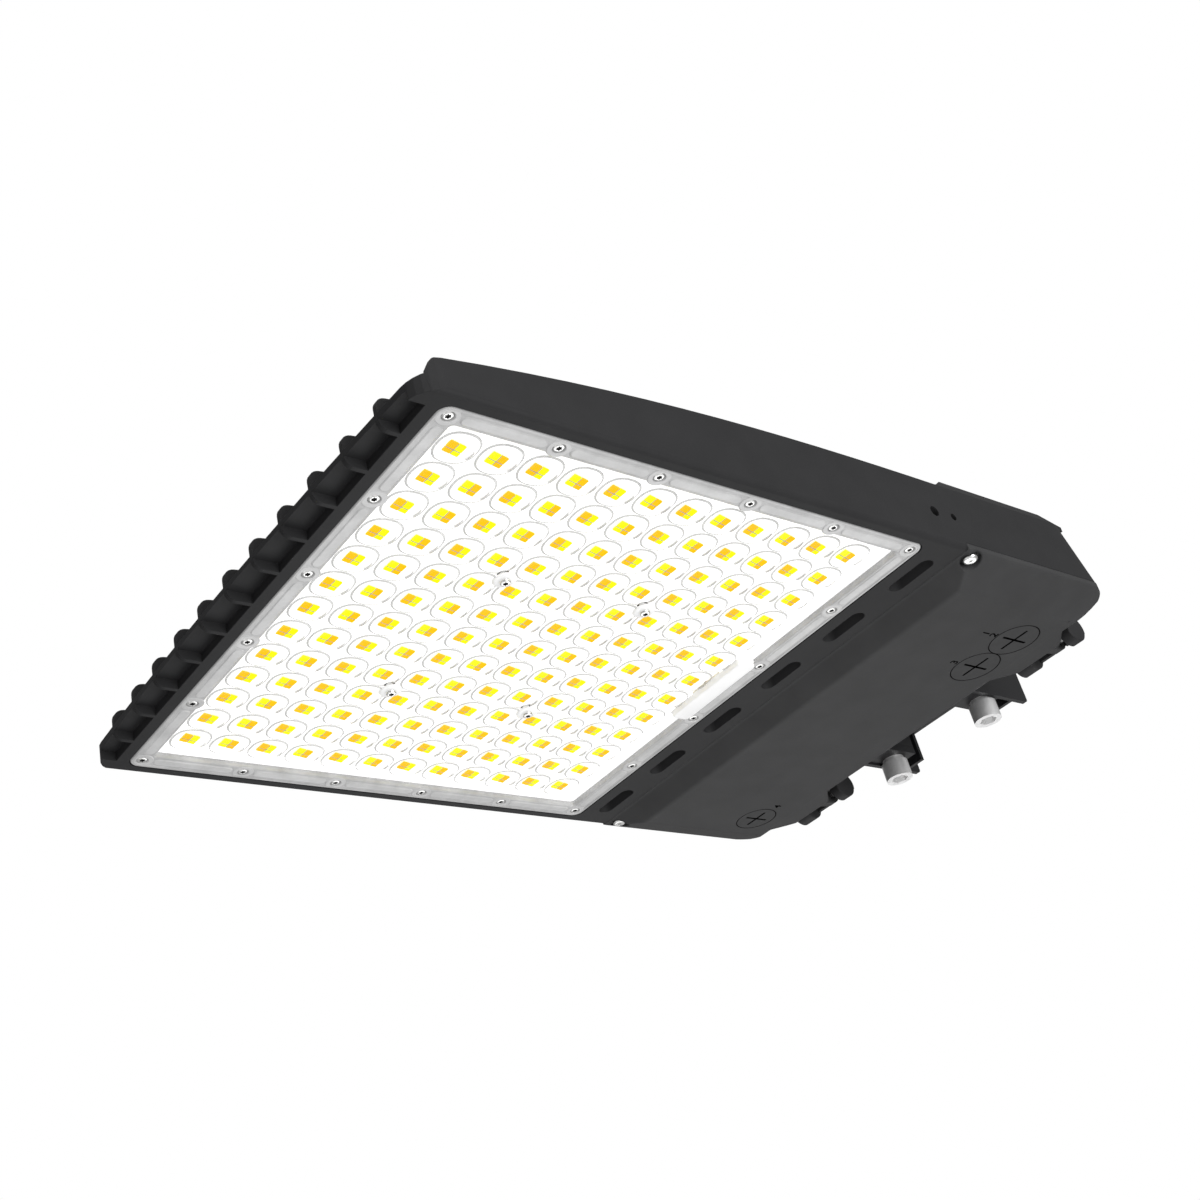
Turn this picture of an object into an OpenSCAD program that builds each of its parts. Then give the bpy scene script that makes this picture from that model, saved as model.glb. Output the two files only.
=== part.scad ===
// Shoebox area light for a pole: a die-cast finned head with an optic plate,
// a driver bay closed by a hinged door, and a bracket that bolts to a pole.
// Modelled with X towards the pole, Y across the head and Z up.

/* [Optic plate] */
// Length of the clear optic plate, along X
lens_l = 308.6; // [280:1:400]
// Width of the clear optic plate, along Y
lens_w = 318.4; // [306:1:420]
// Thickness of the optic plate
lens_t = 3; // [2:0.5:4]
// How far the plate's rim lies inside the frame
lens_inset = 1; // [0.5:0.1:2]
// Width of the plate's raised rim
rim_band = 10.8; // [9:0.1:12]
// How far the field of domes lies inside the rim's face
field_inset = 1.4; // [0.5:0.1:1.4]
// Corner radius of the optic plate
lens_corner_r = 6; // [3:0.5:10]
// Radius of each optic dome at its foot
dome_r = 10; // [8:0.5:10.5]
// Height of each optic dome over the plate
dome_h = 4.6; // [3:0.2:6]
// Shift of each dome towards the pole from its light source
dome_shift = 4.5; // [0:0.5:5]

/* [Light sources] */
// Columns of light sources along X
led_cols = 12; // [12:4:12]
// Rows of light sources along Y
led_rows = 13; // [9:2:13]
// Column spacing
led_pitch_x = 22.88; // [20:0.02:24]
// Row spacing
led_pitch_y = 22; // [20:0.1:24]
// Shift of the whole grid along X from the plate's centre
led_shift_x = -5.06; // [-8:0.01:0]
// Side of one light source
led_size = 5; // [3:0.5:7]
// Height of one light source
led_h = 0.8; // [0.5:0.1:1.2]
// Thickness of the printed boards
board_t = 1.6; // [1:0.2:2]

/* [Head] */
// Frame strip between the plate and the front pockets
strip_front = 7.3; // [5:0.1:12]
// Frame strip beside the plate
strip_side = 7.5; // [5:0.1:12]
// Frame strip between the plate and the vent slots
strip_rear = 9.8; // [6:0.1:14]
// Length of the vent slots, along Y
slot_l = 31; // [20:1:36]
// Width of the vent slots, along X
slot_w = 9.5; // [6:0.5:12]
// Strip between the vent slots and the door
slot_to_door = 8.8; // [6:0.1:14]
// Length of the driver bay, along X
bay_l = 128.6; // [124:0.1:160]
// Height of the side walls at the front
wall_h_front = 17.1; // [16:0.1:24]
// Height of the side walls at the rear
wall_h_rear = 42.3; // [40:0.1:56]
// Wall thickness of the casting
wall_t = 3; // [2:0.5:4]
// Thickness of the tray floor over the boards
floor_t = 4; // [3:0.5:6]
// Lean of the rear face from upright, in degrees
rear_lean = 22; // [10:1:26]
// Radius of the rear corners
rear_corner_r = 11; // [8:1:20]
// Radius of the front corners
front_corner_r = 14; // [10:1:20]
// Rise of the raised roof over the driver bay
cap_h = 8; // [6:0.5:10]

/* [Cooling fins] */
// Number of fins, an odd number
fin_n = 11; // [7:2:13]
// Spacing of the fins
fin_pitch = 27; // [22:1:30]
// Thickness of a fin
fin_t = 2.4; // [1.6:0.1:4]
// How far the fins reach in front of the frame
fin_reach = 13.4; // [8:0.1:18]
// Depth of the front pockets under their roof
pocket_h = 5; // [3:0.5:8]
// How far the front edge bows forward at the middle
front_bow = 5; // [0:0.5:8]

/* [Door] */
// Depth of the door below the frame face
door_drop = 9.4; // [8:0.1:14]
// Width of the slope along each side of the door
door_slope_y = 24.9; // [15:0.1:34]
// Length of the slope at the front of the door
door_slope_x = 13; // [6:0.5:20]
// Height of the split line over the frame face
split_z = 4; // [3:0.1:5]
// Wall thickness of the door
door_t = 3; // [2:0.5:4]
// Shank radius of the captive screws
captive_r = 2.5; // [2:0.5:3]

/* [Hinge] */
// Distance of the hinge axis behind the door
hinge_back = 22.5; // [20:0.5:30]
// Height of the hinge axis over the frame face
hinge_z = 2.9; // [2:0.1:5]
// Radius of the housing's hinge lugs
lug_r = 9; // [7:0.5:10]
// Radius of the hinge pins
pin_r = 3; // [2:0.5:4]
// Running clearance on the hinge pins and the dials
run_gap = 0.06; // [0.02:0.01:0.1]

/* [Plugs] */
// Radius of the two selector plugs
plug_r = 15.3; // [12:0.1:15.3]
// Radius of the sensor plug
sensor_plug_r = 13.5; // [10:0.1:15]
// Thickness of a plug's cap
plug_cap_t = 2.4; // [2:0.2:3]
// Length of a plug's neck
plug_neck_l = 6; // [4:0.5:7]

/* [Pole bracket] */
// Width of the bracket over its side plates
bracket_w = 102; // [98:1:120]
// Height of the bracket
bracket_h = 64; // [60:1:90]
// Plate thickness of the bracket
bracket_t = 3; // [2:0.5:5]
// Distance of the pole face behind the door
pole_back = 66.5; // [60:0.5:90]
// Distance from the back plate to the pole face
back_recess = 13.5; // [8:0.5:20]
// Spacing of the two pole bolts
pole_bolt_span = 40; // [36:1:60]
// Radius of the pole bolt holes
pole_bolt_r = 5.5; // [4:0.5:6.5]
// Radius of the wire hole
wire_hole_r = 10; // [6:0.5:10]
// Shank radius of the clamp bolts
clamp_r = 6; // [5:0.5:6]

/* [Driver] */
// Length of the driver case, along Y
driver_l = 210; // [150:5:220]
// Width of the driver case, along X
driver_w = 62; // [50:1:68]
// Height of the driver case
driver_h = 32; // [24:1:34]

/* [Hidden] */
$fn = 48;
eps = 0.01;
far_off = 400;

// Clearances
fit_gap = 0.7;      // round the optic plate
seat_gap = 0.1;     // between faces that close on each other
part_gap = 0.3;     // between pieces that stand side by side
fine_fn = 24;

// Plan positions along X, from the centre of the optic plate
frame_front = -(lens_l / 2 + strip_front);
fin_front = frame_front - fin_reach;
slot_x = lens_l / 2 + strip_rear;
split_x = slot_x + slot_w + slot_to_door;
rear_x = split_x + bay_l;
head_w = lens_w + 2 * strip_side;

// Heights, from the frame's lower face
lens_z = lens_inset;
lens_top = lens_z + lens_t;
gasket_t = 3.2;
floor_z = lens_top + gasket_t;
floor_top = floor_z + floor_t;
board_z = floor_z - board_t;
led_z = board_z - led_h;
roof_z = wall_h_rear - wall_t;
cap_roof_z = roof_z + cap_h;

// Where the fins and walls stop climbing
crown_end = slot_x + slot_w;
crown_power = 2.5;

// The bay's front wall stands behind the vent slots
bay_wall_x = split_x - wall_t;

function unit(v) = v / norm(v);
function wrap_angle(a) = a > 180 ? a - 360 : a < -180 ? a + 360 : a;

// An outline with rounded corners. Each point is [x, y, radius].
function corner_points(a, b, c, n) =
    let (
        p = [b[0], b[1]],
        u = unit([a[0], a[1]] - p),
        v = unit([c[0], c[1]] - p),
        half = acos(u * v) / 2,
        mid = p + unit(u + v) * b[2] / sin(half),
        start = p + u * b[2] / tan(half) - mid,
        stop = p + v * b[2] / tan(half) - mid,
        from = atan2(start[1], start[0]),
        sweep = wrap_angle(atan2(stop[1], stop[0]) - from)
    )
    b[2] == 0 ? [p] : [for (k = [0:n]) mid + b[2] * [cos(from + sweep * k / n), sin(from + sweep * k / n)]];

function round_corners(points, n = 6) =
    let (last = len(points) - 1)
    [
        for (i = [0:last])
            each corner_points(points[i == 0 ? last : i - 1], points[i], points[i == last ? 0 : i + 1], n)
    ];

// Height of the walls and fins at x
function crown_z(x) =
    x >= crown_end ? wall_h_rear
    : wall_h_rear - (wall_h_rear - wall_h_front)
        * pow((crown_end - x) / (crown_end - fin_front - fin_reach / 2), crown_power);

function crown_line(from, to, step = 24) =
    [for (x = [from:step:to - step / 2]) [x, crown_z(x), 0]];

// How far a point of the front edge lies behind its foremost point
function bow_back(y) = front_bow * pow(2 * y / head_w, 2);

// Plan of the head: a bowed front edge between rounded corners
module head_plan(back) {
    half = head_w / 2;
    reach = half - front_corner_r;
    polygon(round_corners(concat(
        [[back, -half, 0], [fin_front + front_bow, -half, front_corner_r]],
        [
            for (k = [1:bow_n - 1])
                let (y = reach * (2 * k / bow_n - 1)) [fin_front + bow_back(y), y, 0]
        ],
        [[fin_front + front_bow, half, front_corner_r], [back, half, 0]]
    )));
}

// Puts the model's origin on the pole bolts' centre, on the back plate's rear face
back_plate_x = rear_x + pole_back - back_recess;
bracket_mid_z = bracket_h / 2;
module placed() translate([-back_plate_x, 0, -bracket_mid_z]) children();

// Extrudes an X-Z outline across the head, and a Y-Z outline along it
module across(w) rotate([90, 0, 0]) linear_extrude(w, center = true) children();
module along(x0, x1) translate([x0, 0, 0]) rotate([90, 0, 90]) linear_extrude(x1 - x0) children();

module rounded_plan(l, w, r) {
    translate([-l / 2 + r, -w / 2]) square([l - 2 * r, w]);
    translate([-l / 2, -w / 2 + r]) square([l, w - 2 * r]);
    for (sx = [-1, 1], sy = [-1, 1])
        translate([sx * (l / 2 - r), sy * (w / 2 - r)]) circle(r);
}

module plan_ring(l, w, r, t) {
    difference() {
        rounded_plan(l, w, r);
        rounded_plan(l - 2 * t, w - 2 * t, r - t / 2);
    }
}

module box(x0, x1, y0, y1, z0, z1) translate([x0, y0, z0]) cube([x1 - x0, y1 - y0, z1 - z0]);

module both_sides() {
    children();
    mirror([0, 1, 0]) children();
}

// ---------------------------------------------------------------- lens screws
screw_n = 6;                    // along each edge of the plate
screw_in_x = 6;                 // from the plate's edge
screw_in_y = 5.45;
screw_r = 2;
screw_head_r = 3.5;
screw_head_h = 2;
screw_depth = 7.5;
screw_step_x = (lens_l - 2 * screw_in_x) / (screw_n - 1);
screw_step_y = (lens_w - 2 * screw_in_y) / (screw_n - 1);
screw_hole_r = screw_r + run_gap;
screw_tip = floor_z + screw_depth - 1.5;
boss_r = 4.5;
boss_rise = 5;
inner_screw_row = 2.5;          // rows from the middle row
boards_n = 3;
board_cols = led_cols / boards_n;

function led_x(i) = led_shift_x + (i - (led_cols - 1) / 2) * led_pitch_x;
function led_y(j) = (j - (led_rows - 1) / 2) * led_pitch_y;

screw_points = [
    for (i = [0:screw_n - 1], j = [0:screw_n - 1])
        if (i == 0 || i == screw_n - 1 || j == 0 || j == screw_n - 1)
            [screw_in_x + i * screw_step_x - lens_l / 2, screw_in_y + j * screw_step_y - lens_w / 2]
];
inner_points = [
    for (b = [1:boards_n - 1], s = [-1, 1])
        [(led_x(b * board_cols - 1) + led_x(b * board_cols)) / 2, s * inner_screw_row * led_pitch_y]
];
all_screws = concat(screw_points, inner_points);

module at_points(points) for (p = points) translate([p[0], p[1], 0]) children();

// ------------------------------------------------------------- main housing
edge_r = 3;
inner_corner_r = 2;
bow_n = 16;                     // flats along the bowed edge
lip_t = 2.5;
fin_foot_r = 5;
fin_brow_r = 6.5;
fin_brow = 1.6;                 // the fins' front corners stand this much proud
fin_end = slot_x - 6;
end_block = 10.7;               // solid corner beside the last pocket
end_reach = 6.4;                // side walls in front of the frame
wall_lean = 6.7;                // lean of the side walls' front edge
rim_w = 14.5;                   // flange that the door closes against
rim_t = 3;
bay_front_x = split_x + wall_t;
slot_n = 6;
slot_pitch = 2 * fin_pitch;
cap_in = 1;                     // from the head's sides to the raised roof
cap_slope = 3;
cap_end_slope = 14;
cap_end_back = 18;              // from the door's rear edge to the raised roof
cap_clear = 5;                  // round the driver, under the raised roof
tunnel_x = 137;                 // where the leads rise from the rear board
tunnel_half = 7;
tunnel_top = 21;
tunnel_z = 16;
tunnel_r = 4;
accessory_r = [3.25, 2.25];
accessory_x = [slot_x + 0.4, split_x - 1.8];
accessory_z = 21;
accessory_depth = 8;
accessory_boss_r = 6;

module side_outline() {
    front = frame_front - end_reach;
    polygon(round_corners(concat(
        [[front + edge_r / 2, 0, edge_r], [front, split_z + edge_r / 2, 2]],
        [[front + wall_lean, crown_z(front + wall_lean), edge_r]],
        crown_line(front + wall_lean + fin_pitch, crown_end),
        [[crown_end, wall_h_rear, 0], [rear_x, wall_h_rear, 0], [rear_x, 0, 0]]
    )));
}

module fin_outline() {
    inner = frame_front + wall_t;
    polygon(round_corners(concat(
        [[fin_front, 0, fin_foot_r], [fin_front, crown_z(fin_front) + fin_brow, fin_brow_r]],
        crown_line(fin_front + fin_pitch, fin_end),
        [[fin_end, crown_z(fin_end), edge_r], [fin_end, floor_z + eps, 0]],
        [[inner, floor_z + eps, 0], [inner, 0, 0]]
    )));
}

module fins() {
    for (k = [0:fin_n - 1])
        let (y = (k - (fin_n - 1) / 2) * fin_pitch)
            translate([0, y, 0])
                across(fin_t)
                    intersection() {
                        translate([bow_back(y), 0]) fin_outline();
                        translate([fin_front, 0]) square([fin_end - fin_front, 2 * wall_h_rear]);
                    }
}

// The thin lip that roofs the front pockets
module front_lip() {
    inner = frame_front + wall_t;
    across(head_w)
        polygon([
            [fin_front, pocket_h], [fin_front, pocket_h + lip_t],
            [frame_front, floor_top], [inner, floor_top], [inner, pocket_h]
        ]);
}

// The rear of the head: upright sides, a leaning back and rounded corners
module lean_plan(inset) {
    half = head_w / 2 - inset;
    r = max(rear_corner_r - inset, inner_corner_r);
    l = bay_l + rear_corner_r;
    translate([-l, -half]) square([l - inset - r, 2 * half]);
    translate([-l, -half + r]) square([l - inset, 2 * (half - r)]);
    for (s = [-1, 1]) translate([-inset - r, s * (half - r)]) circle(r);
}

module bay_block(inset, x0, z0, z1) {
    intersection() {
        translate([rear_x, 0, split_z])
            rotate([0, -rear_lean, 0])
                translate([0, 0, -wall_h_rear])
                    linear_extrude(3 * wall_h_rear) lean_plan(inset);
        box(x0, rear_x + edge_r, -head_w / 2, head_w / 2, z0, z1);
    }
}

module end_corners() {
    both_sides()
        box(fin_front, frame_front + wall_t, head_w / 2 - end_block, head_w / 2, 0, pocket_h + lip_t);
}

module tray_frame() {
    difference() {
        intersection() {
            union() {
                box(frame_front, split_x - seat_gap, -head_w / 2, head_w / 2, 0, floor_top);
                end_corners();
                front_lip();
                side_walls();
            }
            linear_extrude(far_off) head_plan(split_x);
        }
        translate([0, 0, -eps])
            linear_extrude(floor_z + eps)
                rounded_plan(lens_l + 2 * fit_gap, lens_w + 2 * fit_gap, lens_corner_r + fit_gap);
    }
}

module side_walls() {
    both_sides()
        translate([0, (head_w - wall_t) / 2, 0])
            across(wall_t)
                intersection() {
                    side_outline();
                    translate([fin_front, 0]) square([bay_wall_x + eps - fin_front, 2 * wall_h_rear]);
                }
}

module driver_bay() {
    difference() {
        union() {
            bay_block(0, bay_wall_x, split_z + seat_gap, wall_h_rear);
            box(bay_wall_x, split_x - seat_gap, -head_w / 2, head_w / 2, 0, wall_h_rear);
            raised_roof();
        }
        bay_block(wall_t, bay_front_x, split_z + rim_t, roof_z);
        bay_block(rim_w, split_x + rim_w, 0, split_z + 2 * rim_t);
        roof_hollow();
    }
}

module raised_roof() {
    x0 = bay_wall_x;
    x1 = rear_x - cap_end_back;
    half = head_w / 2 - cap_in;
    top = wall_h_rear + cap_h;
    intersection() {
        across(head_w)
            polygon([
                [x0, roof_z], [x0, wall_h_rear], [x0 + cap_h, top],
                [x1 - cap_end_slope, top], [x1, wall_h_rear], [x1, roof_z]
            ]);
        along(x0, x1)
            polygon([
                [-half, roof_z], [-half, wall_h_rear], [cap_slope - half, top],
                [half - cap_slope, top], [half, wall_h_rear], [half, roof_z]
            ]);
    }
}

// The raised roof is hollow over the driver, and carries it on four posts
module roof_hollow() {
    half = head_w / 2 - cap_in - cap_slope - wall_t;
    difference() {
        box(driver_x - cap_clear, driver_x + driver_w + cap_clear, -half, half, roof_z - eps, cap_roof_z);
        at_points(driver_screw_points)
            translate([0, 0, driver_top]) cylinder(r = driver_post_r, h = driver_post_h + 1);
    }
}

module stadium(l, w) {
    square([w, l - w], center = true);
    for (s = [-1, 1]) translate([0, s * (l - w) / 2]) circle(w / 2);
}

module vent_slots() {
    for (k = [0:slot_n - 1])
        translate([slot_x + slot_w / 2, (k - (slot_n - 1) / 2) * slot_pitch, -eps])
            linear_extrude(floor_top + 2 * eps) stadium(slot_l, slot_w);
}

// Sealed passage for the leads, over the tray floor to the driver bay
module wire_tunnel() {
    box(tunnel_x - tunnel_half, bay_wall_x + eps, -tunnel_half, tunnel_half, floor_top - eps, tunnel_top);
}

module wire_tunnel_bore() {
    translate([tunnel_x, 0, floor_z - eps]) cylinder(r = tunnel_r, h = tunnel_z - floor_z + eps);
    translate([tunnel_x, 0, tunnel_z]) sphere(tunnel_r);
    translate([tunnel_x, 0, tunnel_z]) rotate([0, 90, 0]) cylinder(r = tunnel_r, h = bay_front_x - tunnel_x + wall_t);
}

// Hinge: three knuckles a side, in the same order on both
hinge_x = rear_x + hinge_back;
hinge_start = [-126.5, 80.5];
lug_a_t = 6.6;
knuckle_from = 14;
knuckle_t = 5.8;
knuckle_r = 7;
lug_c_from = 33.8;
lug_c_t = 11.6;
hinge_l = lug_c_from + lug_c_t;
lug_root_z = 16;

module lug(t) {
    difference() {
        union() {
            translate([0, t, 0]) rotate([90, 0, 0]) cylinder(r = lug_r, h = t);
            translate([0, t, 0])
                rotate([90, 0, 0])
                    linear_extrude(t)
                        polygon([
                            [0, lug_r], [-hinge_back - wall_t, lug_root_z],
                            [-hinge_back - wall_t, split_z + seat_gap - hinge_z],
                            [-hinge_back + part_gap, split_z + seat_gap - hinge_z], [-lug_r, 0]
                        ]);
        }
        translate([0, t + eps, 0]) rotate([90, 0, 0]) cylinder(r = pin_r, h = t + 2 * eps);
    }
}

module hinge_lugs() {
    for (y = hinge_start) {
        translate([hinge_x, y, hinge_z]) lug(lug_a_t);
        translate([hinge_x, y + lug_c_from, hinge_z]) lug(lug_c_t);
    }
}

// Rear tongue that sits in the bracket, with the clamp bolts' threaded posts
tab_z = 1.5;
tab_t = 5;
tongue_z = tab_z + tab_t;
tongue_top = 38;
tongue_end = back_plate_x - bracket_t - 3;
tongue_half = bracket_w / 2 - bracket_t - part_gap;
tongue_bay_half = 29;
clamp_x = rear_x + 30;
clamp_y = 40.4;
clamp_depth = 24;
duct_z = 22;
duct_r = 9;

module tongue() {
    difference() {
        box(rear_x - rear_corner_r, tongue_end, -tongue_half, tongue_half, tongue_z, tongue_top);
        box(rear_x + wall_t, tongue_end + eps, -tongue_bay_half, tongue_bay_half,
            tongue_z + wall_t, tongue_top - wall_t);
        bay_block(wall_t, split_x, 0, roof_z);
    }
}

captive_x = split_x + 8.6;
captive_y = head_w / 2 - 6.7;
captive_boss_r = 5.5;
captive_boss_h = 12;
captive_hole_r = captive_r + 0.35;

module captive_posts() {
    both_sides()
        intersection() {
            translate([captive_x, captive_y, split_z + seat_gap])
                cylinder(r = captive_boss_r, h = captive_boss_h);
            box(0, rear_x, 0, head_w / 2, 0, wall_h_rear);
        }
}

module screw_posts() {
    at_points(all_screws)
        translate([0, 0, floor_top - eps]) cylinder(r = boss_r, h = boss_rise + eps);
}

module accessory_posts() {
    both_sides()
        for (x = accessory_x)
            translate([x, head_w / 2, accessory_z])
                rotate([90, 0, 0]) cylinder(r = accessory_boss_r, h = accessory_depth + wall_t);
}

module accessory_holes() {
    both_sides()
        for (k = [0, 1])
            translate([accessory_x[k], head_w / 2 + eps, accessory_z])
                rotate([90, 0, 0]) cylinder(r = accessory_r[k], h = accessory_depth);
}

module screw_holes() {
    at_points(all_screws)
        translate([0, 0, floor_z - eps]) cylinder(r = screw_hole_r, h = screw_depth);
    both_sides() {
        translate([captive_x, captive_y, split_z - eps])
            cylinder(r = captive_hole_r, h = captive_boss_h - wall_t);
        translate([clamp_x, clamp_y, tongue_z - eps])
            cylinder(r = clamp_r + run_gap, h = clamp_depth);
    }
    at_points(driver_screw_points)
        translate([0, 0, driver_top - eps]) cylinder(r = driver_screw_r + run_gap, h = driver_screw_depth + 1);
}

// Keeps the lower side edges round
module round_section() {
    along(fin_front - wall_t, tongue_end + eps)
        polygon(round_corners([
            [-head_w / 2, 0, edge_r], [head_w / 2, 0, edge_r],
            [head_w / 2, far_off, 0], [-head_w / 2, far_off, 0]
        ]));
}

module main_housing() {
    color([0.2, 0.2, 0.2])
        placed()
            difference() {
                intersection() {
                    union() {
                        tray_frame();
                        fins();
                        driver_bay();
                        hinge_lugs();
                        tongue();
                        captive_posts();
                        screw_posts();
                        accessory_posts();
                        wire_tunnel();
                    }
                    round_section();
                }
                vent_slots();
                screw_holes();
                accessory_holes();
                wire_tunnel_bore();
                translate([rear_x - rear_corner_r, 0, duct_z])
                    rotate([0, 90, 0]) cylinder(r = duct_r, h = 2 * rear_corner_r);
            }
}

// ---------------------------------------------------------------- optic side
bump_x = [131, 144];            // raised pocket over the board connector
bump_l = bump_x[1] - bump_x[0];
bump_mid = (bump_x[0] + bump_x[1]) / 2;
bump_w = 64;
bump_rise = 3.4;
skin_t = 1.6;
dome_hollow_r = 4;
post_rise = 4.6;                // raised seats of the four inner screws
post_r = 4.6;
field_z = lens_z + field_inset;
post_z = field_z - post_rise;

// A cap of a sphere: foot radius r, height h, growing downwards
module dome(r, h) {
    ball_r = (r * r + h * h) / (2 * h);
    rotate([180, 0, 0])
        rotate_extrude()
            intersection() {
                translate([0, h - ball_r]) circle(ball_r);
                translate([0, -eps]) square([r + eps, h + 1]);
            }
}

module at_leds() {
    for (i = [0:led_cols - 1], j = [0:led_rows - 1])
        translate([led_x(i), led_y(j), 0]) children();
}

module rim_plan() {
    difference() {
        rounded_plan(lens_l, lens_w, lens_corner_r);
        rounded_plan(lens_l - 2 * rim_band, lens_w - 2 * rim_band, lens_corner_r);
    }
}

module lens_plate() {
    color([0.93, 0.94, 0.95, 0.5])
        placed()
            difference() {
                union() {
                    translate([0, 0, lens_z]) linear_extrude(lens_t) rim_plan();
                    translate([0, 0, field_z])
                        linear_extrude(lens_top - field_z)
                            rounded_plan(lens_l - rim_band, lens_w - rim_band, lens_corner_r);
                    translate([dome_shift, 0, field_z]) at_leds() dome(dome_r, dome_h);
                    at_points(inner_points)
                        translate([0, 0, post_z]) cylinder(r = post_r, h = lens_top - post_z);
                    translate([bump_mid, 0, field_z - bump_rise])
                        linear_extrude(bump_rise + skin_t) rounded_plan(bump_l, bump_w, edge_r);
                }
                at_leds() translate([0, 0, lens_top]) sphere(dome_hollow_r);
                translate([bump_mid, 0, field_z - bump_rise + skin_t])
                    linear_extrude(lens_t + bump_rise)
                        rounded_plan(bump_l - 2 * skin_t, bump_w - 2 * skin_t, skin_t);
                at_points(screw_points)
                    translate([0, 0, lens_z - eps]) cylinder(r = screw_r + part_gap, h = lens_t + 2 * eps);
                at_points(inner_points)
                    translate([0, 0, post_z - eps])
                        cylinder(r = screw_r + part_gap, h = lens_top - post_z + 2 * eps);
            }
}

gasket_w = 9;

module lens_gasket() {
    color([0.72, 0.73, 0.73])
        placed()
            difference() {
                translate([0, 0, lens_top])
                    linear_extrude(gasket_t)
                        plan_ring(lens_l - 2, lens_w - 2, lens_corner_r, gasket_w);
                at_points(screw_points)
                    translate([0, 0, lens_top - eps])
                        cylinder(r = screw_r + part_gap, h = gasket_t + 2 * eps);
            }
}

board_gap = 0.5;
board_margin_y = 11;
board_rear_x = bump_x[1] - part_gap;

module led_board(k) {
    first = led_x(k * board_cols) - led_pitch_x / 2 + board_gap / 2;
    last = k == boards_n - 1 ? board_rear_x : led_x((k + 1) * board_cols - 1) + led_pitch_x / 2 - board_gap / 2;
    half = led_y(led_rows - 1) + board_margin_y;
    color("white")
        placed()
            difference() {
                box(first, last, -half, half, board_z, floor_z);
                at_points(inner_points)
                    translate([0, 0, board_z - eps])
                        cylinder(r = screw_head_r, h = board_t + 2 * eps);
                translate([tunnel_x, 0, board_z - eps]) cylinder(r = tunnel_r, h = board_t + 2 * eps);
            }
}

module led_board_front() led_board(0);
module led_board_middle() led_board(1);
module led_board_rear() led_board(2);

module led_packages() {
    color("gold")
        placed()
            at_leds()
                translate([-led_size / 2, -led_size / 2, led_z]) cube([led_size, led_size, led_h]);
}

connector_x = [133.5, 139.5];
connector_half = 12;
connector_h = 4.6;

module board_connector() {
    color("ivory")
        placed()
            box(connector_x[0], connector_x[1], -connector_half, connector_half, board_z - connector_h, board_z);
}

// A pan head screw that points upwards, its head under z = 0
module pan_screw(r, head_r, head_h, l) {
    cylinder(r = r, h = l, $fn = fine_fn);
    rotate([180, 0, 0])
        rotate_extrude($fn = fine_fn)
            difference() {
                union() {
                    square([head_r, head_h / 2]);
                    square([head_r - head_h / 2, head_h]);
                    translate([head_r - head_h / 2, head_h / 2]) circle(head_h / 2);
                }
                translate([-1, -head_h]) square([1, 3 * head_h]);
                translate([-1, head_h - drive_deep]) square([1 + drive_r, head_h]);
            }
}
drive_r = 1.1;
drive_deep = 0.9;

module lens_screws() {
    color("silver")
        placed() {
            at_points(screw_points)
                translate([0, 0, lens_z]) pan_screw(screw_r, screw_head_r, screw_head_h, screw_tip - lens_z);
            at_points(inner_points)
                translate([0, 0, post_z]) pan_screw(screw_r, screw_head_r, screw_head_h, screw_tip - post_z);
        }
}

// -------------------------------------------------------- driver bay contents
driver_x = bay_front_x + 10;
driver_y = -95;
driver_foot_l = 12;
driver_foot_t = 2;
driver_screw_r = 2;
driver_screw_in = 12;
driver_screw_depth = 5;
driver_post_r = 5;
driver_post_h = 4;
driver_top = cap_roof_z - driver_post_h;
driver_screw_points = [
    for (x = [driver_x + driver_screw_in, driver_x + driver_w - driver_screw_in],
         y = [driver_y - driver_foot_l / 2, driver_y + driver_l + driver_foot_l / 2]) [x, y]
];

module driver() {
    color([0.85, 0.86, 0.87])
        placed()
            difference() {
                union() {
                    box(driver_x, driver_x + driver_w, driver_y, driver_y + driver_l, driver_top - driver_h, driver_top);
                    box(driver_x, driver_x + driver_w, driver_y - driver_foot_l,
                        driver_y + driver_l + driver_foot_l, driver_top - driver_foot_t, driver_top);
                }
                at_points(driver_screw_points)
                    translate([0, 0, driver_top - driver_foot_t - eps])
                        cylinder(r = driver_screw_r + part_gap, h = driver_foot_t + 2 * eps);
            }
}

module driver_screws() {
    color("silver")
        placed()
            at_points(driver_screw_points)
                translate([0, 0, driver_top - driver_foot_t])
                    pan_screw(driver_screw_r, screw_head_r, screw_head_h, driver_foot_t + driver_screw_depth);
}

surge_size = [36, 34, 26];
surge_gap = 5;

module surge_protector() {
    x = driver_x;
    y = driver_y - driver_foot_l - surge_gap - surge_size[1];
    color("darkred")
        placed()
            box(x, x + surge_size[0], y, y + surge_size[1], cap_roof_z - surge_size[2], cap_roof_z);
}

terminal_gap = 8;
terminal_w = 18;
terminal_l = 50;
terminal_h = 16;
terminal_y = -20;
terminal_poles = 3;
terminal_hole_r = 3;
terminal_hole_deep = 6;

module terminal_block() {
    x = driver_x + driver_w + terminal_gap;
    pole = terminal_l / terminal_poles;
    color("ivory")
        placed()
            difference() {
                box(x, x + terminal_w, terminal_y, terminal_y + terminal_l, roof_z - terminal_h, roof_z);
                for (k = [0:terminal_poles - 1])
                    translate([x + terminal_w / 2, terminal_y + (k + 0.5) * pole, roof_z - terminal_h - eps])
                        cylinder(r = terminal_hole_r, h = terminal_hole_deep);
            }
}

supply_lead_r = 1.5;

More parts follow.
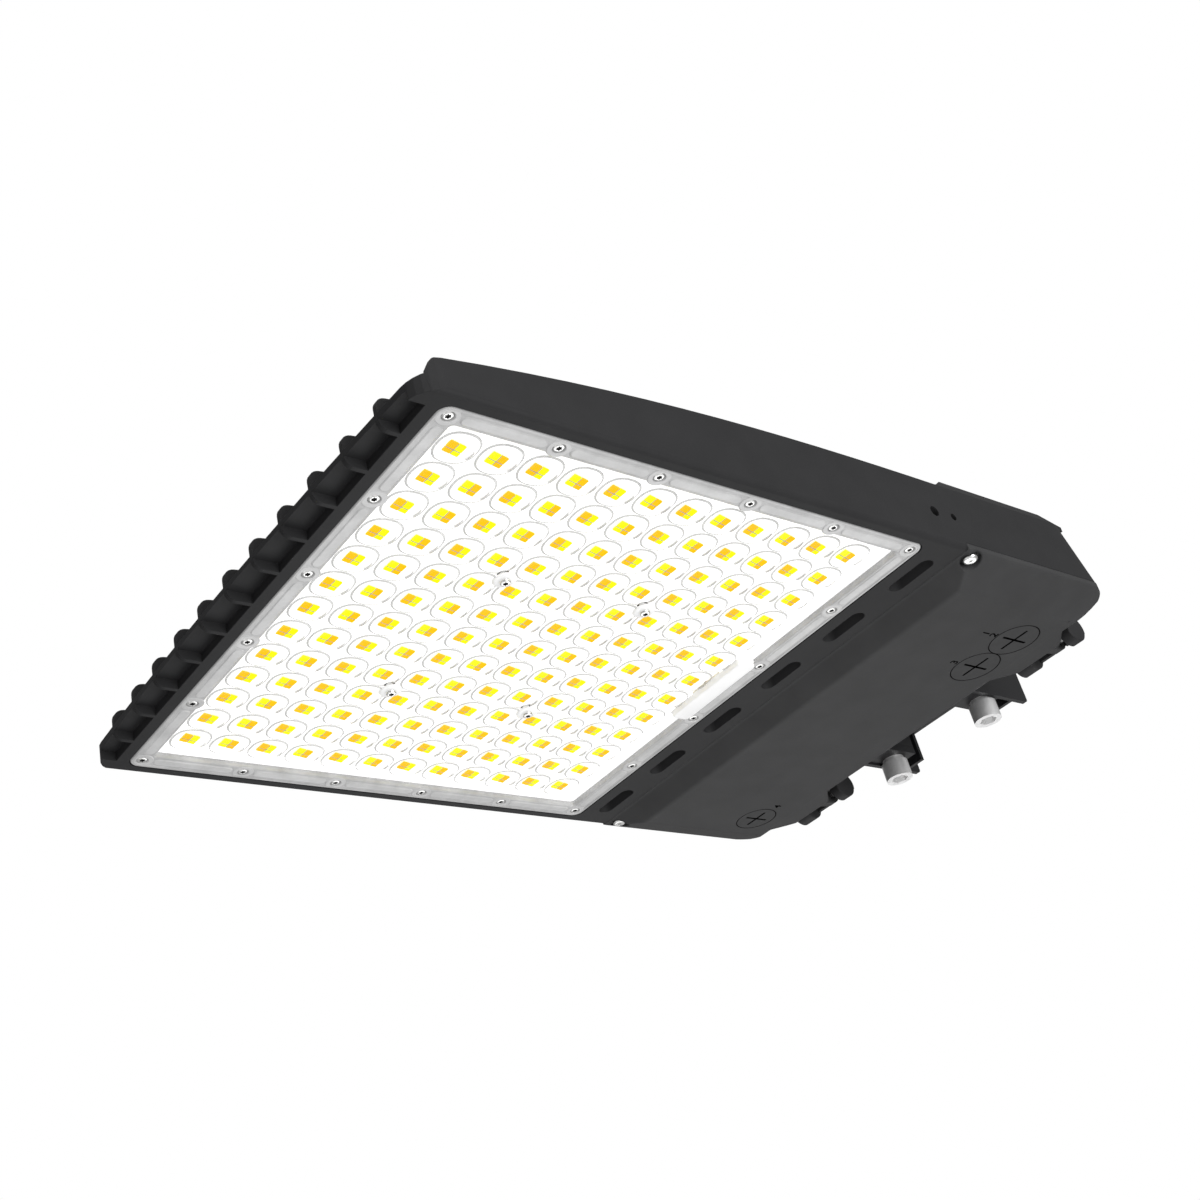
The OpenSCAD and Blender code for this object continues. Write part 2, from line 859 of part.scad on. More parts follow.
module supply_leads() {
    x = driver_x + driver_w;
    pole = terminal_l / terminal_poles;
    color("black")
        placed()
            for (k = [0:terminal_poles - 1])
                translate([x, terminal_y + (k + 0.5) * pole, roof_z - terminal_h / 2])
                    rotate([0, 90, 0]) cylinder(r = supply_lead_r, h = terminal_gap, $fn = fine_fn);
}

// Two leads that rise from the rear board's connector and run to the driver
lead_r = 1.2;
lead_y = 1.8;

module led_leads() {
    z0 = board_z;
    color("crimson")
        placed()
            for (s = [-1, 1])
                translate([tunnel_x, s * lead_y, 0]) {
                    translate([0, 0, z0]) cylinder(r = lead_r, h = tunnel_z - z0, $fn = fine_fn);
                    translate([0, 0, tunnel_z]) sphere(lead_r, $fn = fine_fn);
                    translate([0, 0, tunnel_z])
                        rotate([0, 90, 0]) cylinder(r = lead_r, h = driver_x - tunnel_x, $fn = fine_fn);
                }
}

// Selector switches over the two selector plugs
plug_x = rear_x - 32;
plug_pair_y = -99.8;
plug_step = 2 * plug_r + 0.8;
plug_y = [plug_pair_y - plug_step / 2, plug_pair_y + plug_step / 2];
sensor_plug_y = 120;
dial_z = 2;
dial_h = 4;
dial_shaft_r = 2;
dial_shaft_l = 6;
small_dial_r = 5;
large_dial_r = 6.5;
dial_step = 13;
dial_slot = 1.4;
module_w = 26;
module_z = dial_z + dial_h + part_gap;
module_h = 14;
module_over = 6;
module_post_r = 4;
dial_points = [
    [plug_x, plug_y[0] - dial_step / 2], [plug_x, plug_y[0] + dial_step / 2], [plug_x, plug_y[1]]
];

module selector_module() {
    y0 = plug_y[0] - plug_r - module_over;
    y1 = plug_y[1] + plug_r + module_over / 2;
    color([0.15, 0.35, 0.2])
        placed()
            difference() {
                union() {
                    box(plug_x - module_w / 2 - 2, plug_x + module_w / 2 - 2, y0, y1, module_z, module_z + module_h);
                    for (y = [y0 + module_over, y1 - module_over])
                        translate([plug_x - module_over, y, module_z])
                            cylinder(r = module_post_r, h = roof_z - module_z);
                }
                at_points(dial_points)
                    translate([0, 0, module_z - eps])
                        cylinder(r = dial_shaft_r + run_gap, h = dial_shaft_l + 1);
            }
}

module dial(k, r) {
    color("orange")
        placed()
            translate([dial_points[k][0], dial_points[k][1], dial_z])
                difference() {
                    union() {
                        cylinder(r = r, h = dial_h);
                        cylinder(r = dial_shaft_r, h = dial_h + part_gap + dial_shaft_l);
                    }
                    translate([-r / 2, -dial_slot / 2, -eps]) cube([1.5 * r + 1, dial_slot, dial_slot]);
                }
}

module power_dial() dial(0, small_dial_r);
module colour_dial() dial(1, small_dial_r);
module distribution_dial() dial(2, large_dial_r);

socket_r = 10.5;
socket_z = 8;
socket_h = 15;
socket_stem_r = 6;
socket_pin_r = 1.2;
socket_pins = 4;
socket_pin_ring = 5;

module sensor_socket() {
    color("black")
        placed()
            translate([plug_x, sensor_plug_y, socket_z])
                difference() {
                    union() {
                        cylinder(r = socket_r, h = socket_h);
                        cylinder(r = socket_stem_r, h = roof_z - socket_z);
                    }
                    translate([0, 0, -eps]) cylinder(r = socket_r - 2, h = 3);
                    for (k = [0:socket_pins - 1])
                        rotate([0, 0, k * 360 / socket_pins])
                            translate([socket_pin_ring, 0, -eps])
                                cylinder(r = socket_pin_r, h = 9, $fn = fine_fn);
                }
}

// ------------------------------------------------------------------- hinge pins
module hinge_pin(k) {
    color("dimgray")
        placed()
            translate([hinge_x, hinge_start[k] + hinge_l, hinge_z])
                rotate([90, 0, 0]) cylinder(r = pin_r - run_gap / 2, h = hinge_l);
}

module hinge_pin_near() hinge_pin(0);
module hinge_pin_far() hinge_pin(1);

// ------------------------------------------------------------------------- door
door_top = split_z - seat_gap;
door_lip = 1.6;                 // flat strip before the front slope
door_front_r = 6;
door_rear_r = 9;
gasket_in = 10.5;
seal_w = 3;
seal_deep = 2;
scoop_in = 12;
scoop_out = 10;
scoop_rest = 30;                // run of the S-curve at each side of a scoop
scoop_side = 1.5;
collar_over = 2.7;
collar_h = 6.2;
plug_gap = 0.2;
plug_neck_in = 4;
seal_t = 0.8;
rib_y = [-40, 0, 40];
rib_t = 2;
rib_h = 4;
recess_r = 6.3;
recess_top = 1.2;
captive_head_r = 4.5;
captive_head_h = 3;
captive_l = 8;

module door_plan(inset) {
    half = head_w / 2 - inset;
    r = max(rear_corner_r - inset, inner_corner_r);
    front = split_x + inset;
    back = rear_x - inset;
    translate([front, -half]) square([back - r - front, 2 * half]);
    translate([front, -half + r]) square([back - front, 2 * (half - r)]);
    for (s = [-1, 1]) translate([back - r, s * (half - r)]) circle(r);
}

module door_form() {
    half = head_w / 2;
    foot = half - door_slope_y;
    intersection() {
        translate([0, 0, -door_drop]) linear_extrude(door_drop + door_top) door_plan(0);
        across(head_w)
            polygon(round_corners([
                [split_x, door_top, 0], [split_x, 0, 0], [split_x + door_lip, 0, 0],
                [split_x + door_lip + door_slope_x, -door_drop, door_front_r],
                [rear_x, -door_drop, door_rear_r], [rear_x, door_top, 0]
            ]));
        along(split_x, rear_x)
            polygon(round_corners([
                [-half, door_top, 0], [-half, 0, edge_r / 2], [-foot, -door_drop, door_front_r],
                [foot, -door_drop, door_front_r], [half, 0, edge_r / 2], [half, door_top, 0]
            ]));
    }
}

module door_hollow() {
    half = head_w / 2;
    foot = half - door_slope_y - door_t;
    front = split_x + rim_w;
    sill = -door_drop * (door_slope_y - rim_w) / door_slope_y;
    intersection() {
        translate([0, 0, door_t - door_drop]) linear_extrude(2 * door_drop) door_plan(rim_w);
        along(split_x, rear_x)
            polygon([
                [-half + rim_w, 2 * door_drop], [-half + rim_w, sill + door_t + rim_t],
                [-foot, door_t - door_drop], [foot, door_t - door_drop],
                [half - rim_w, sill + door_t + rim_t], [half - rim_w, 2 * door_drop]
            ]);
        across(head_w)
            polygon([
                [front, 2 * door_drop], [front, -door_drop / 2], [front + door_t, door_t - door_drop],
                [rear_x - rim_w, door_t - door_drop], [rear_x - rim_w, 2 * door_drop]
            ]);
    }
}

// Plan of one scoop: a lobe with S-curved sides
function scoop_edge(y, n = 8) = [
    for (k = [0:n])
        [rear_x - scoop_in + (scoop_in + scoop_out) * (1 - cos(180 * k / n)) / 2, y - scoop_rest * (1 - k / n)]
];
function mirror_edge(points, y) = [for (i = [len(points) - 1:-1:0]) [points[i][0], 2 * y - points[i][1]]];

module scoop(k) {
    y0 = hinge_start[k] - scoop_side + scoop_rest / 2;
    y1 = hinge_start[k] + hinge_l + scoop_side - scoop_rest / 2;
    edge = scoop_edge(y0);
    difference() {
        intersection() {
            translate([0, 0, -door_drop])
                linear_extrude(door_drop + door_top)
                    polygon(concat(edge, mirror_edge(edge, (y0 + y1) / 2)));
            across(head_w)
                polygon(round_corners([
                    [rear_x - scoop_in, -door_drop, 0], [rear_x + scoop_out - 2, -door_drop + 0.4, 3],
                    [rear_x + scoop_out, -door_drop + 4, 1], [rear_x + scoop_out / 2, -door_drop / 4, 4],
                    [rear_x - 2, -0.5, 0], [rear_x - scoop_in, -0.5, 0]
                ]));
        }
        translate([hinge_x, 0, hinge_z]) rotate([90, 0, 0]) cylinder(r = lug_r + 0.8, h = head_w, center = true);
    }
}

module knuckle(k) {
    translate([hinge_x, hinge_start[k] + knuckle_from + knuckle_t, hinge_z])
        rotate([90, 0, 0]) {
            cylinder(r = knuckle_r, h = knuckle_t);
            linear_extrude(knuckle_t)
                polygon([
                    [0, -knuckle_r], [-hinge_back - edge_r, edge_r / 2 - door_drop - hinge_z],
                    [-hinge_back - edge_r, door_top - hinge_z], [-hinge_back, door_top - hinge_z],
                    [0, knuckle_r]
                ]);
        }
}

module at_plugs() {
    for (y = plug_y) translate([plug_x, y, -door_drop]) children(0);
    translate([plug_x, sensor_plug_y, -door_drop]) children(1);
}

module plug_seat(r) {
    translate([0, 0, -eps]) cylinder(r = r + plug_gap, h = plug_cap_t + seal_t + eps);
    translate([0, 0, -eps]) cylinder(r = r - plug_neck_in + plug_gap, h = 2 * collar_h);
}

module door() {
    color([0.27, 0.27, 0.27])
        placed()
            difference() {
                union() {
                    difference() {
                        door_form();
                        door_hollow();
                    }
                    intersection() {
                        union() {
                            at_plugs() {
                                cylinder(r = plug_r + collar_over, h = collar_h);
                                cylinder(r = sensor_plug_r + collar_over, h = collar_h);
                            }
                            for (y = rib_y)
                                box(split_x + rim_w, rear_x - rim_w, y - rib_t / 2, y + rib_t / 2,
                                    -door_drop + 1, -door_drop + door_t + rib_h);
                        }
                        door_form();
                    }
                    for (k = [0, 1]) {
                        scoop(k);
                        knuckle(k);
                    }
                }
                at_plugs() {
                    plug_seat(plug_r);
                    plug_seat(sensor_plug_r);
                }
                both_sides()
                    translate([captive_x, captive_y, 0]) {
                        translate([0, 0, -door_drop]) cylinder(r = recess_r, h = door_drop + recess_top);
                        cylinder(r = captive_r + part_gap, h = 2 * split_z);
                    }
                translate([0, 0, door_top - seal_deep])
                    linear_extrude(seal_deep + 1)
                        difference() {
                            door_plan(gasket_in - seat_gap);
                            door_plan(gasket_in + seal_w + seat_gap);
                        }
                for (k = [0, 1])
                    translate([hinge_x, hinge_start[k] + hinge_l, hinge_z])
                        rotate([90, 0, 0]) cylinder(r = pin_r + run_gap / 2, h = hinge_l);
            }
}

module door_gasket() {
    color([0.1, 0.1, 0.1])
        placed()
            translate([0, 0, door_top - seal_deep])
                linear_extrude(seal_deep + 2 * seat_gap)
                    difference() {
                        door_plan(gasket_in);
                        door_plan(gasket_in + seal_w);
                    }
}

module captive_screw(s) {
    color("silver")
        placed()
            translate([captive_x, s * captive_y, recess_top])
                pan_screw(captive_r, captive_head_r, captive_head_h, captive_l);
}

module captive_screw_near() captive_screw(-1);
module captive_screw_far() captive_screw(1);

cross_w = 1.7;
cross_deep = 1.4;
cross_share = 0.68;             // length of the cross over the plug's width
neck_wall = 1.8;

module plug(y, r) {
    neck_r = r - plug_neck_in;
    color([0.27, 0.27, 0.27])
        placed()
            translate([plug_x, y, -door_drop])
                difference() {
                    union() {
                        cylinder(r = r, h = plug_cap_t);
                        cylinder(r = neck_r, h = plug_cap_t + plug_neck_l);
                    }
                    translate([0, 0, plug_cap_t]) cylinder(r = neck_r - neck_wall, h = plug_neck_l + 1);
                    for (a = [0, 90])
                        rotate([0, 0, a])
                            translate([-r * cross_share, -cross_w / 2, -eps])
                                cube([2 * r * cross_share, cross_w, cross_deep + eps]);
                }
}

module plug_seal(y, r) {
    color("black")
        placed()
            translate([plug_x, y, plug_cap_t - door_drop])
                linear_extrude(seal_t)
                    difference() {
                        circle(r - plug_gap);
                        circle(r - plug_neck_in + plug_gap);
                    }
}

module plug_power() plug(plug_y[0], plug_r);
module seal_power() plug_seal(plug_y[0], plug_r);
module plug_distribution() plug(plug_y[1], plug_r);
module seal_distribution() plug_seal(plug_y[1], plug_r);
module plug_sensor() plug(sensor_plug_y, sensor_plug_r);
module seal_sensor() plug_seal(sensor_plug_y, sensor_plug_r);

// ----------------------------------------------------------------- pole bracket
bracket_front = rear_x + 3;
bracket_nose_h = 46;
bracket_flat = 8;
pole_x = rear_x + pole_back;
tab_x = rear_x + 11;
tab_in = 29;
tab_hole_r = clamp_r + 0.5;
washer_t = 2.9;
washer_r = 7.4;
clamp_head_r = 9;
clamp_head_h = 12;
clamp_hex_r = 5.77;
clamp_hex_deep = 6;
clamp_l = 26;
washer_slit = 1.5;
grommet_lip = 2.5;
grommet_lip_t = 2;
grommet_wall = 3;

module bracket_side(t) {
    polygon(round_corners([
        [bracket_front, 0, t ? 0 : 2], [t ? pole_x + 1 : pole_x, 0, t ? 0 : 2],
        [t ? pole_x + 1 : pole_x, bracket_h - t, t ? 0 : 3],
        [back_plate_x - bracket_flat, bracket_h - t, 8], [bracket_front, bracket_nose_h - t, t ? 0 : 4]
    ]));
}

module bracket_pocket(x0, x1) {
    intersection() {
        across(bracket_w - 2 * bracket_t)
            union() {
                bracket_side(bracket_t);
                translate([bracket_front - 1, -1]) square([pole_back, 2]);
                translate([bracket_front - 1, -1]) square([2, bracket_nose_h - bracket_t]);
            }
        box(x0, x1, -bracket_w, bracket_w, -1, 2 * bracket_h);
    }
}

module pole_bracket() {
    color([0.2, 0.2, 0.2])
        placed()
            difference() {
                union() {
                    difference() {
                        across(bracket_w) bracket_side(0);
                        bracket_pocket(bracket_front - 2, back_plate_x - bracket_t);
                        bracket_pocket(back_plate_x, pole_x + 2);
                    }
                    both_sides()
                        box(tab_x, back_plate_x - eps, tab_in, bracket_w / 2 - eps, tab_z, tab_z + tab_t);
                }
                both_sides()
                    translate([clamp_x, clamp_y, 0]) cylinder(r = tab_hole_r, h = tab_z + tab_t + 1);
                for (s = [-1, 1])
                    translate([back_plate_x - bracket_t - 1, 0, bracket_mid_z + s * pole_bolt_span / 2])
                        rotate([0, 90, 0]) cylinder(r = pole_bolt_r, h = bracket_t + 2);
                translate([back_plate_x - bracket_t - 1, 0, bracket_mid_z])
                    rotate([0, 90, 0]) cylinder(r = wire_hole_r, h = bracket_t + 2);
            }
}

module clamp_bolts() {
    color("silver")
        placed()
            both_sides()
                translate([clamp_x, clamp_y, tab_z - washer_t])
                    difference() {
                        union() {
                            translate([0, 0, -clamp_head_h]) cylinder(r = clamp_head_r, h = clamp_head_h);
                            translate([0, 0, -eps]) cylinder(r = clamp_r, h = clamp_l);
                        }
                        translate([0, 0, -clamp_head_h - eps])
                            cylinder(r = clamp_hex_r, h = clamp_hex_deep, $fn = 6);
                    }
}

module split_washers() {
    color("silver")
        placed()
            both_sides()
                translate([clamp_x, clamp_y, tab_z - washer_t])
                    linear_extrude(washer_t)
                        difference() {
                            circle(washer_r);
                            circle(clamp_r + part_gap);
                            rotate(20) translate([0, -washer_slit / 2]) square([2 * clamp_head_r, washer_slit]);
                        }
}

module wire_grommet() {
    plate_x = back_plate_x - bracket_t;
    color([0.08, 0.08, 0.08])
        placed()
            translate([plate_x - grommet_lip_t, 0, bracket_mid_z])
                rotate([0, 90, 0])
                    difference() {
                        union() {
                            cylinder(r = wire_hole_r + grommet_lip, h = grommet_lip_t);
                            cylinder(r = wire_hole_r - run_gap, h = 2 * grommet_lip_t + bracket_t);
                            translate([0, 0, grommet_lip_t + bracket_t])
                                cylinder(r = wire_hole_r + grommet_lip, h = grommet_lip_t);
                        }
                        translate([0, 0, -1])
                            cylinder(r = wire_hole_r - grommet_wall, h = 2 * grommet_lip_t + bracket_t + 2);
                    }
}

// ------------------------------------------------------------------- every node
main_housing();
lens_plate();
lens_gasket();
led_board_front();
led_board_middle();
led_board_rear();
led_packages();
board_connector();
lens_screws();
driver();
driver_screws();
surge_protector();
terminal_block();
selector_module();
power_dial();
colour_dial();
distribution_dial();
sensor_socket();
led_leads();
supply_leads();
wire_grommet();
hinge_pin_near();
hinge_pin_far();
door();
door_gasket();
captive_screw_near();
captive_screw_far();
plug_power();
seal_power();
plug_distribution();
seal_distribution();
plug_sensor();
seal_sensor();
pole_bracket();
clamp_bolts();
split_washers();
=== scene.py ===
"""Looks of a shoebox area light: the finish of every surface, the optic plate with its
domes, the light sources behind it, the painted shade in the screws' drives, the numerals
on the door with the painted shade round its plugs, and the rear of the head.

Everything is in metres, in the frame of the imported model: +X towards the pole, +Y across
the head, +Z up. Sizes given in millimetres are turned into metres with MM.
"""

import math

import bpy
import numpy as np
from mathutils import Matrix, Vector


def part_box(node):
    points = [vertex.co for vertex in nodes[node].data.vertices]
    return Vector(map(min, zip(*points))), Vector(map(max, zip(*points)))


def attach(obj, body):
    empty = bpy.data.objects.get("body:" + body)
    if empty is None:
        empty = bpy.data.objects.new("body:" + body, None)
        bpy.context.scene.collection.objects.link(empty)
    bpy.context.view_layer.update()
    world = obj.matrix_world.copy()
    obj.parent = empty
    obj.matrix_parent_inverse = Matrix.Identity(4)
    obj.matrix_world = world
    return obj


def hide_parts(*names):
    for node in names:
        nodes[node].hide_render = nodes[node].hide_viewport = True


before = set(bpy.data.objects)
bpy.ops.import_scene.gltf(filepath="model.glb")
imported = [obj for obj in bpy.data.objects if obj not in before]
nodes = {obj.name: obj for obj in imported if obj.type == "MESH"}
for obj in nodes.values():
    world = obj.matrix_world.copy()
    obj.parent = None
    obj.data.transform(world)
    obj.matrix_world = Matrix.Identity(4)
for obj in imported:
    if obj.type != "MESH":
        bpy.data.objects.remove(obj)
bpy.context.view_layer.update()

MM = 0.001

# ------------------------------------------------------------------ places, from the frame
LENS_LOW, LENS_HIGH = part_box("lens_plate")
LED_LOW, LED_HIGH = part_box("led_packages")
DOOR_LOW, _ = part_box("door")
GROMMET_LOW, GROMMET_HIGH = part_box("wire_grommet")
LENS_L, LENS_W = LENS_HIGH.x - LENS_LOW.x, LENS_HIGH.y - LENS_LOW.y
LENS_X = (LENS_LOW.x + LENS_HIGH.x) / 2
LENS_TOP = LENS_HIGH.z
# Places that aren't read from the frame are drawn in millimetres from the optic plate's
# middle and the frame's lower face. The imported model's origin is here in those:
ORIGIN_X, ORIGIN_Z = 364, 32

# ------------------------------------------------------------------ sizes of the optic plate
LED_COLS, LED_ROWS = 12, 13
LED_PACKAGE = 5 * MM
LENS_T = 4 * MM
LENS_CORNER = 6 * MM
RIM_Z = LENS_TOP - LENS_T               # the rim's lowest plane
RIM_FACE = RIM_Z + 0.5 * MM             # its sunk band
RIM_BAND = 10.8 * MM
FIELD_Z = RIM_Z + 2.4 * MM              # the plane that the domes grow from
POST_Z = FIELD_Z - 0.8 * MM             # the seats of the inner screws
SCREW_N = 6                             # screws along each side of the rim
SCREW_IN_X, SCREW_IN_Y = 6.1 * MM, 6 * MM
SCREW_SINK, SCREW_SINK_R = 2.1 * MM, 3.2 * MM
INNER_COLUMNS = (4, 8)                  # the inner screws follow these columns
INNER_ROWS = 2.5                        # and stand this many rows from the middle


def led_places():
    """Centre of each light source, column by column, with its column's number."""
    xs = np.linspace(LED_LOW.x + LED_PACKAGE / 2, LED_HIGH.x - LED_PACKAGE / 2, LED_COLS)
    ys = np.linspace(LED_LOW.y + LED_PACKAGE / 2, LED_HIGH.y - LED_PACKAGE / 2, LED_ROWS)
    return [(i, float(x), float(y)) for i, x in enumerate(xs) for y in ys]


def rim_screws():
    """Centres of the screws round the rim."""
    xs = np.linspace(LENS_LOW.x + SCREW_IN_X, LENS_HIGH.x - SCREW_IN_X, SCREW_N)
    ys = np.linspace(LENS_LOW.y + SCREW_IN_Y, LENS_HIGH.y - SCREW_IN_Y, SCREW_N)
    ends = (0, SCREW_N - 1)
    return [
        (float(x), float(y))
        for i, x in enumerate(xs)
        for j, y in enumerate(ys)
        if i in ends or j in ends
    ]


def inner_screws():
    """Centres of the four screws between the boards."""
    columns = [x for _, x, y in led_places() if abs(y) < MM]
    gap = (LED_HIGH.y - LED_LOW.y - LED_PACKAGE) / (LED_ROWS - 1)
    return [
        ((columns[k - 1] + columns[k]) / 2, s * INNER_ROWS * gap)
        for k in INNER_COLUMNS
        for s in (-1, 1)
    ]


# ------------------------------------------------------------------ material helpers
# Most of a noise's values lie between these two
NOISE_LOW, NOISE_HIGH = 0.3, 0.7


def new_material(name):
    """A node material, its tree and its Principled shader."""
    mat = bpy.data.materials.new(name)
    mat.use_nodes = True
    tree = mat.node_tree
    return mat, tree, tree.nodes["Principled BSDF"]


def add(tree, kind, **inputs):
    """A node of that kind, with values for the sockets named."""
    node = tree.nodes.new(kind)
    for key, value in inputs.items():
        node.inputs[key.replace("_", " ")].default_value = value
    return node


def settle(shader, **inputs):
    """Constants on the shader's own sockets."""
    for key, value in inputs.items():
        shader.inputs[key.replace("_", " ")].default_value = value


def object_noise(tree, scale, detail=3.0, roughness=0.5):
    """Noise that is fixed to the object, with its scale in repeats per metre."""
    where = tree.nodes.new("ShaderNodeTexCoord")
    noise = add(tree, "ShaderNodeTexNoise", Scale=scale, Detail=detail, Roughness=roughness)
    tree.links.new(where.outputs["Object"], noise.inputs["Vector"])
    return noise


def span(tree, source, low, high, start=0.0, stop=1.0):
    """A number that runs from low to high as the source runs from start to stop."""
    node = tree.nodes.new("ShaderNodeMapRange")
    for key, value in zip(("From Min", "From Max", "To Min", "To Max"), (start, stop, low, high)):
        node.inputs[key].default_value = value
    tree.links.new(source, node.inputs["Value"])
    return node


def shade(colour, factor):
    """The colour made darker or lighter, and at most white."""
    return tuple(min(1.0, c * factor) for c in colour)


def mottle(tree, socket, noise, low, high, start=NOISE_LOW, stop=NOISE_HIGH):
    """Lets a colour socket follow the noise, from one colour to another."""
    ramp = tree.nodes.new("ShaderNodeValToRGB")
    first, last = ramp.color_ramp.elements
    first.position, last.position = start, stop
    first.color, last.color = (*low, 1), (*high, 1)
    tree.links.new(noise.outputs["Fac"], ramp.inputs["Fac"])
    tree.links.new(ramp.outputs["Color"], socket)


def vary_roughness(tree, shader, noise, low, high):
    """Lets the roughness follow the noise."""
    rough = span(tree, noise.outputs["Fac"], low, high, NOISE_LOW, NOISE_HIGH)
    tree.links.new(rough.outputs["Result"], shader.inputs["Roughness"])


def relief(tree, shader, noise, strength, distance):
    """A fine relief over the surface. Returns its node."""
    bump = add(tree, "ShaderNodeBump", Strength=strength, Distance=distance)
    tree.links.new(noise.outputs["Fac"], bump.inputs["Height"])
    tree.links.new(bump.outputs["Normal"], shader.inputs["Normal"])
    return bump


# ------------------------------------------------------------------ kinds of material
def powder_coat(name, colour, specular=0.3, edge=0.5 * MM):
    """Fine-textured paint on a casting: soft mottling, a small grain and eased edges."""
    mat, tree, shader = new_material(name)
    soft = object_noise(tree, 45, detail=4)
    mottle(tree, shader.inputs["Base Color"], soft, shade(colour, 0.93), shade(colour, 1.07))
    fine = object_noise(tree, 2600, detail=2)
    vary_roughness(tree, shader, fine, 0.45, 0.55)
    bump = relief(tree, shader, fine, 0.06, 0.1 * MM)
    eased = add(tree, "ShaderNodeBevel", Radius=edge)
    eased.samples = 4
    tree.links.new(eased.outputs["Normal"], bump.inputs["Normal"])
    settle(shader, Specular_IOR_Level=specular)
    return mat


def moulded(name, colour, roughness=0.4, specular=0.4):
    """Moulded plastic or rubber with a faint cloudy tint and a fine grain."""
    mat, tree, shader = new_material(name)
    cloud = object_noise(tree, 120, detail=2)
    mottle(tree, shader.inputs["Base Color"], cloud, shade(colour, 0.95), shade(colour, 1.05))
    fine = object_noise(tree, 1800, detail=2)
    vary_roughness(tree, shader, fine, roughness - 0.04, roughness + 0.06)
    relief(tree, shader, fine, 0.04, 0.1 * MM)
    settle(shader, Specular_IOR_Level=specular)
    return mat


def steel(name, colour, roughness, streak=0.05, metal=1.0):
    """Turned or plated steel, with faint rings of tool marks in its roughness."""
    mat, tree, shader = new_material(name)
    where = tree.nodes.new("ShaderNodeTexCoord")
    stretch = add(tree, "ShaderNodeMapping", Scale=(300, 300, 6000))
    marks = add(tree, "ShaderNodeTexNoise", Scale=1.0, Detail=3.0)
    tree.links.new(where.outputs["Object"], stretch.inputs["Vector"])
    tree.links.new(stretch.outputs["Vector"], marks.inputs["Vector"])
    vary_roughness(tree, shader, marks, roughness - streak, roughness + streak)
    mottle(tree, shader.inputs["Base Color"], marks, shade(colour, 0.94), shade(colour, 1.04))
    settle(shader, Metallic=metal)
    return mat


def painted_glow_white(name, glow):
    """White with a painted glow that stands in for light, so that the field behind the domes is
    evenly bright.
    """
    mat, tree, shader = new_material(name)
    cloud = object_noise(tree, 60, detail=2)
    mottle(tree, shader.inputs["Base Color"], cloud, (0.9, 0.9, 0.9), (0.95, 0.95, 0.95))
    settle(shader, Roughness=0.4, Specular_IOR_Level=0.2,
           Emission_Color=(1, 1, 1, 1), Emission_Strength=glow)
    return mat


def phosphor(name, colour):
    """The phosphor over a die: a flat strong colour that glows."""
    mat, tree, shader = new_material(name)
    cloud = object_noise(tree, 900, detail=1)
    mottle(tree, shader.inputs["Emission Color"], cloud, shade(colour, 0.98), colour)
    settle(shader, Base_Color=(*shade(colour, 0.25), 1), Emission_Strength=0.9,
           Roughness=0.6, Specular_IOR_Level=0.1)
    return mat


def clear_optic(name, tint, least, most):
    """Clear plastic with painted shade: a grey that covers more where the surface is steep, in
    place of the light that the slopes bend away.
    """
    mat, tree, shader = new_material(name)
    shape = tree.nodes.new("ShaderNodeNewGeometry")
    split = tree.nodes.new("ShaderNodeSeparateXYZ")
    tree.links.new(shape.outputs["Normal"], split.inputs["Vector"])
    flat = tree.nodes.new("ShaderNodeMath")
    flat.operation = "ABSOLUTE"
    tree.links.new(split.outputs["Z"], flat.inputs[0])
    # Painted shade: the grey's cover grows as the face turns steep.
    steep_shade = span(tree, flat.outputs["Value"], most, least, 0.15, 0.8)
    tree.links.new(steep_shade.outputs["Result"], shader.inputs["Alpha"])
    settle(shader, Base_Color=(*tint, 1), Roughness=0.08, Specular_IOR_Level=0.6)
    return mat


def frosted(name, low, high):
    """Grey translucent plastic, cloudy along its length, with a faint white painted glow."""
    mat, tree, shader = new_material(name)
    cloud = object_noise(tree, 70, detail=5, roughness=0.6)
    mottle(tree, shader.inputs["Base Color"], cloud, (low,) * 3, (high,) * 3, 0.35, 0.65)
    relief(tree, shader, object_noise(tree, 900, detail=3), 0.15, 0.2 * MM)
    # The white emission is a painted glow that lightens the plastic.
    settle(shader, Roughness=0.3, Emission_Color=(1, 1, 1, 1), Emission_Strength=0.13,
           Coat_Weight=0.4, Coat_Roughness=0.1)
    return mat


# ------------------------------------------------------------------ materials
PAINT = powder_coat("housing_powder_coat", (0.027, 0.027, 0.028), specular=0.1)
DOOR_PAINT = powder_coat("door_powder_coat", (0.050, 0.050, 0.051), specular=0.08, edge=2.5 * MM)
BRACKET_PAINT = powder_coat("bracket_powder_coat", (0.013, 0.013, 0.014))
SCREW_STEEL = steel("screw_steel", (0.82, 0.82, 0.81), 0.22)
BOLT_STEEL = steel("bolt_steel", (0.92, 0.92, 0.92), 0.34, streak=0.02, metal=0.75)
PIN_STEEL = steel("pin_steel", (0.25, 0.25, 0.25), 0.4)
CASE = steel("driver_case", (0.75, 0.76, 0.77), 0.4)
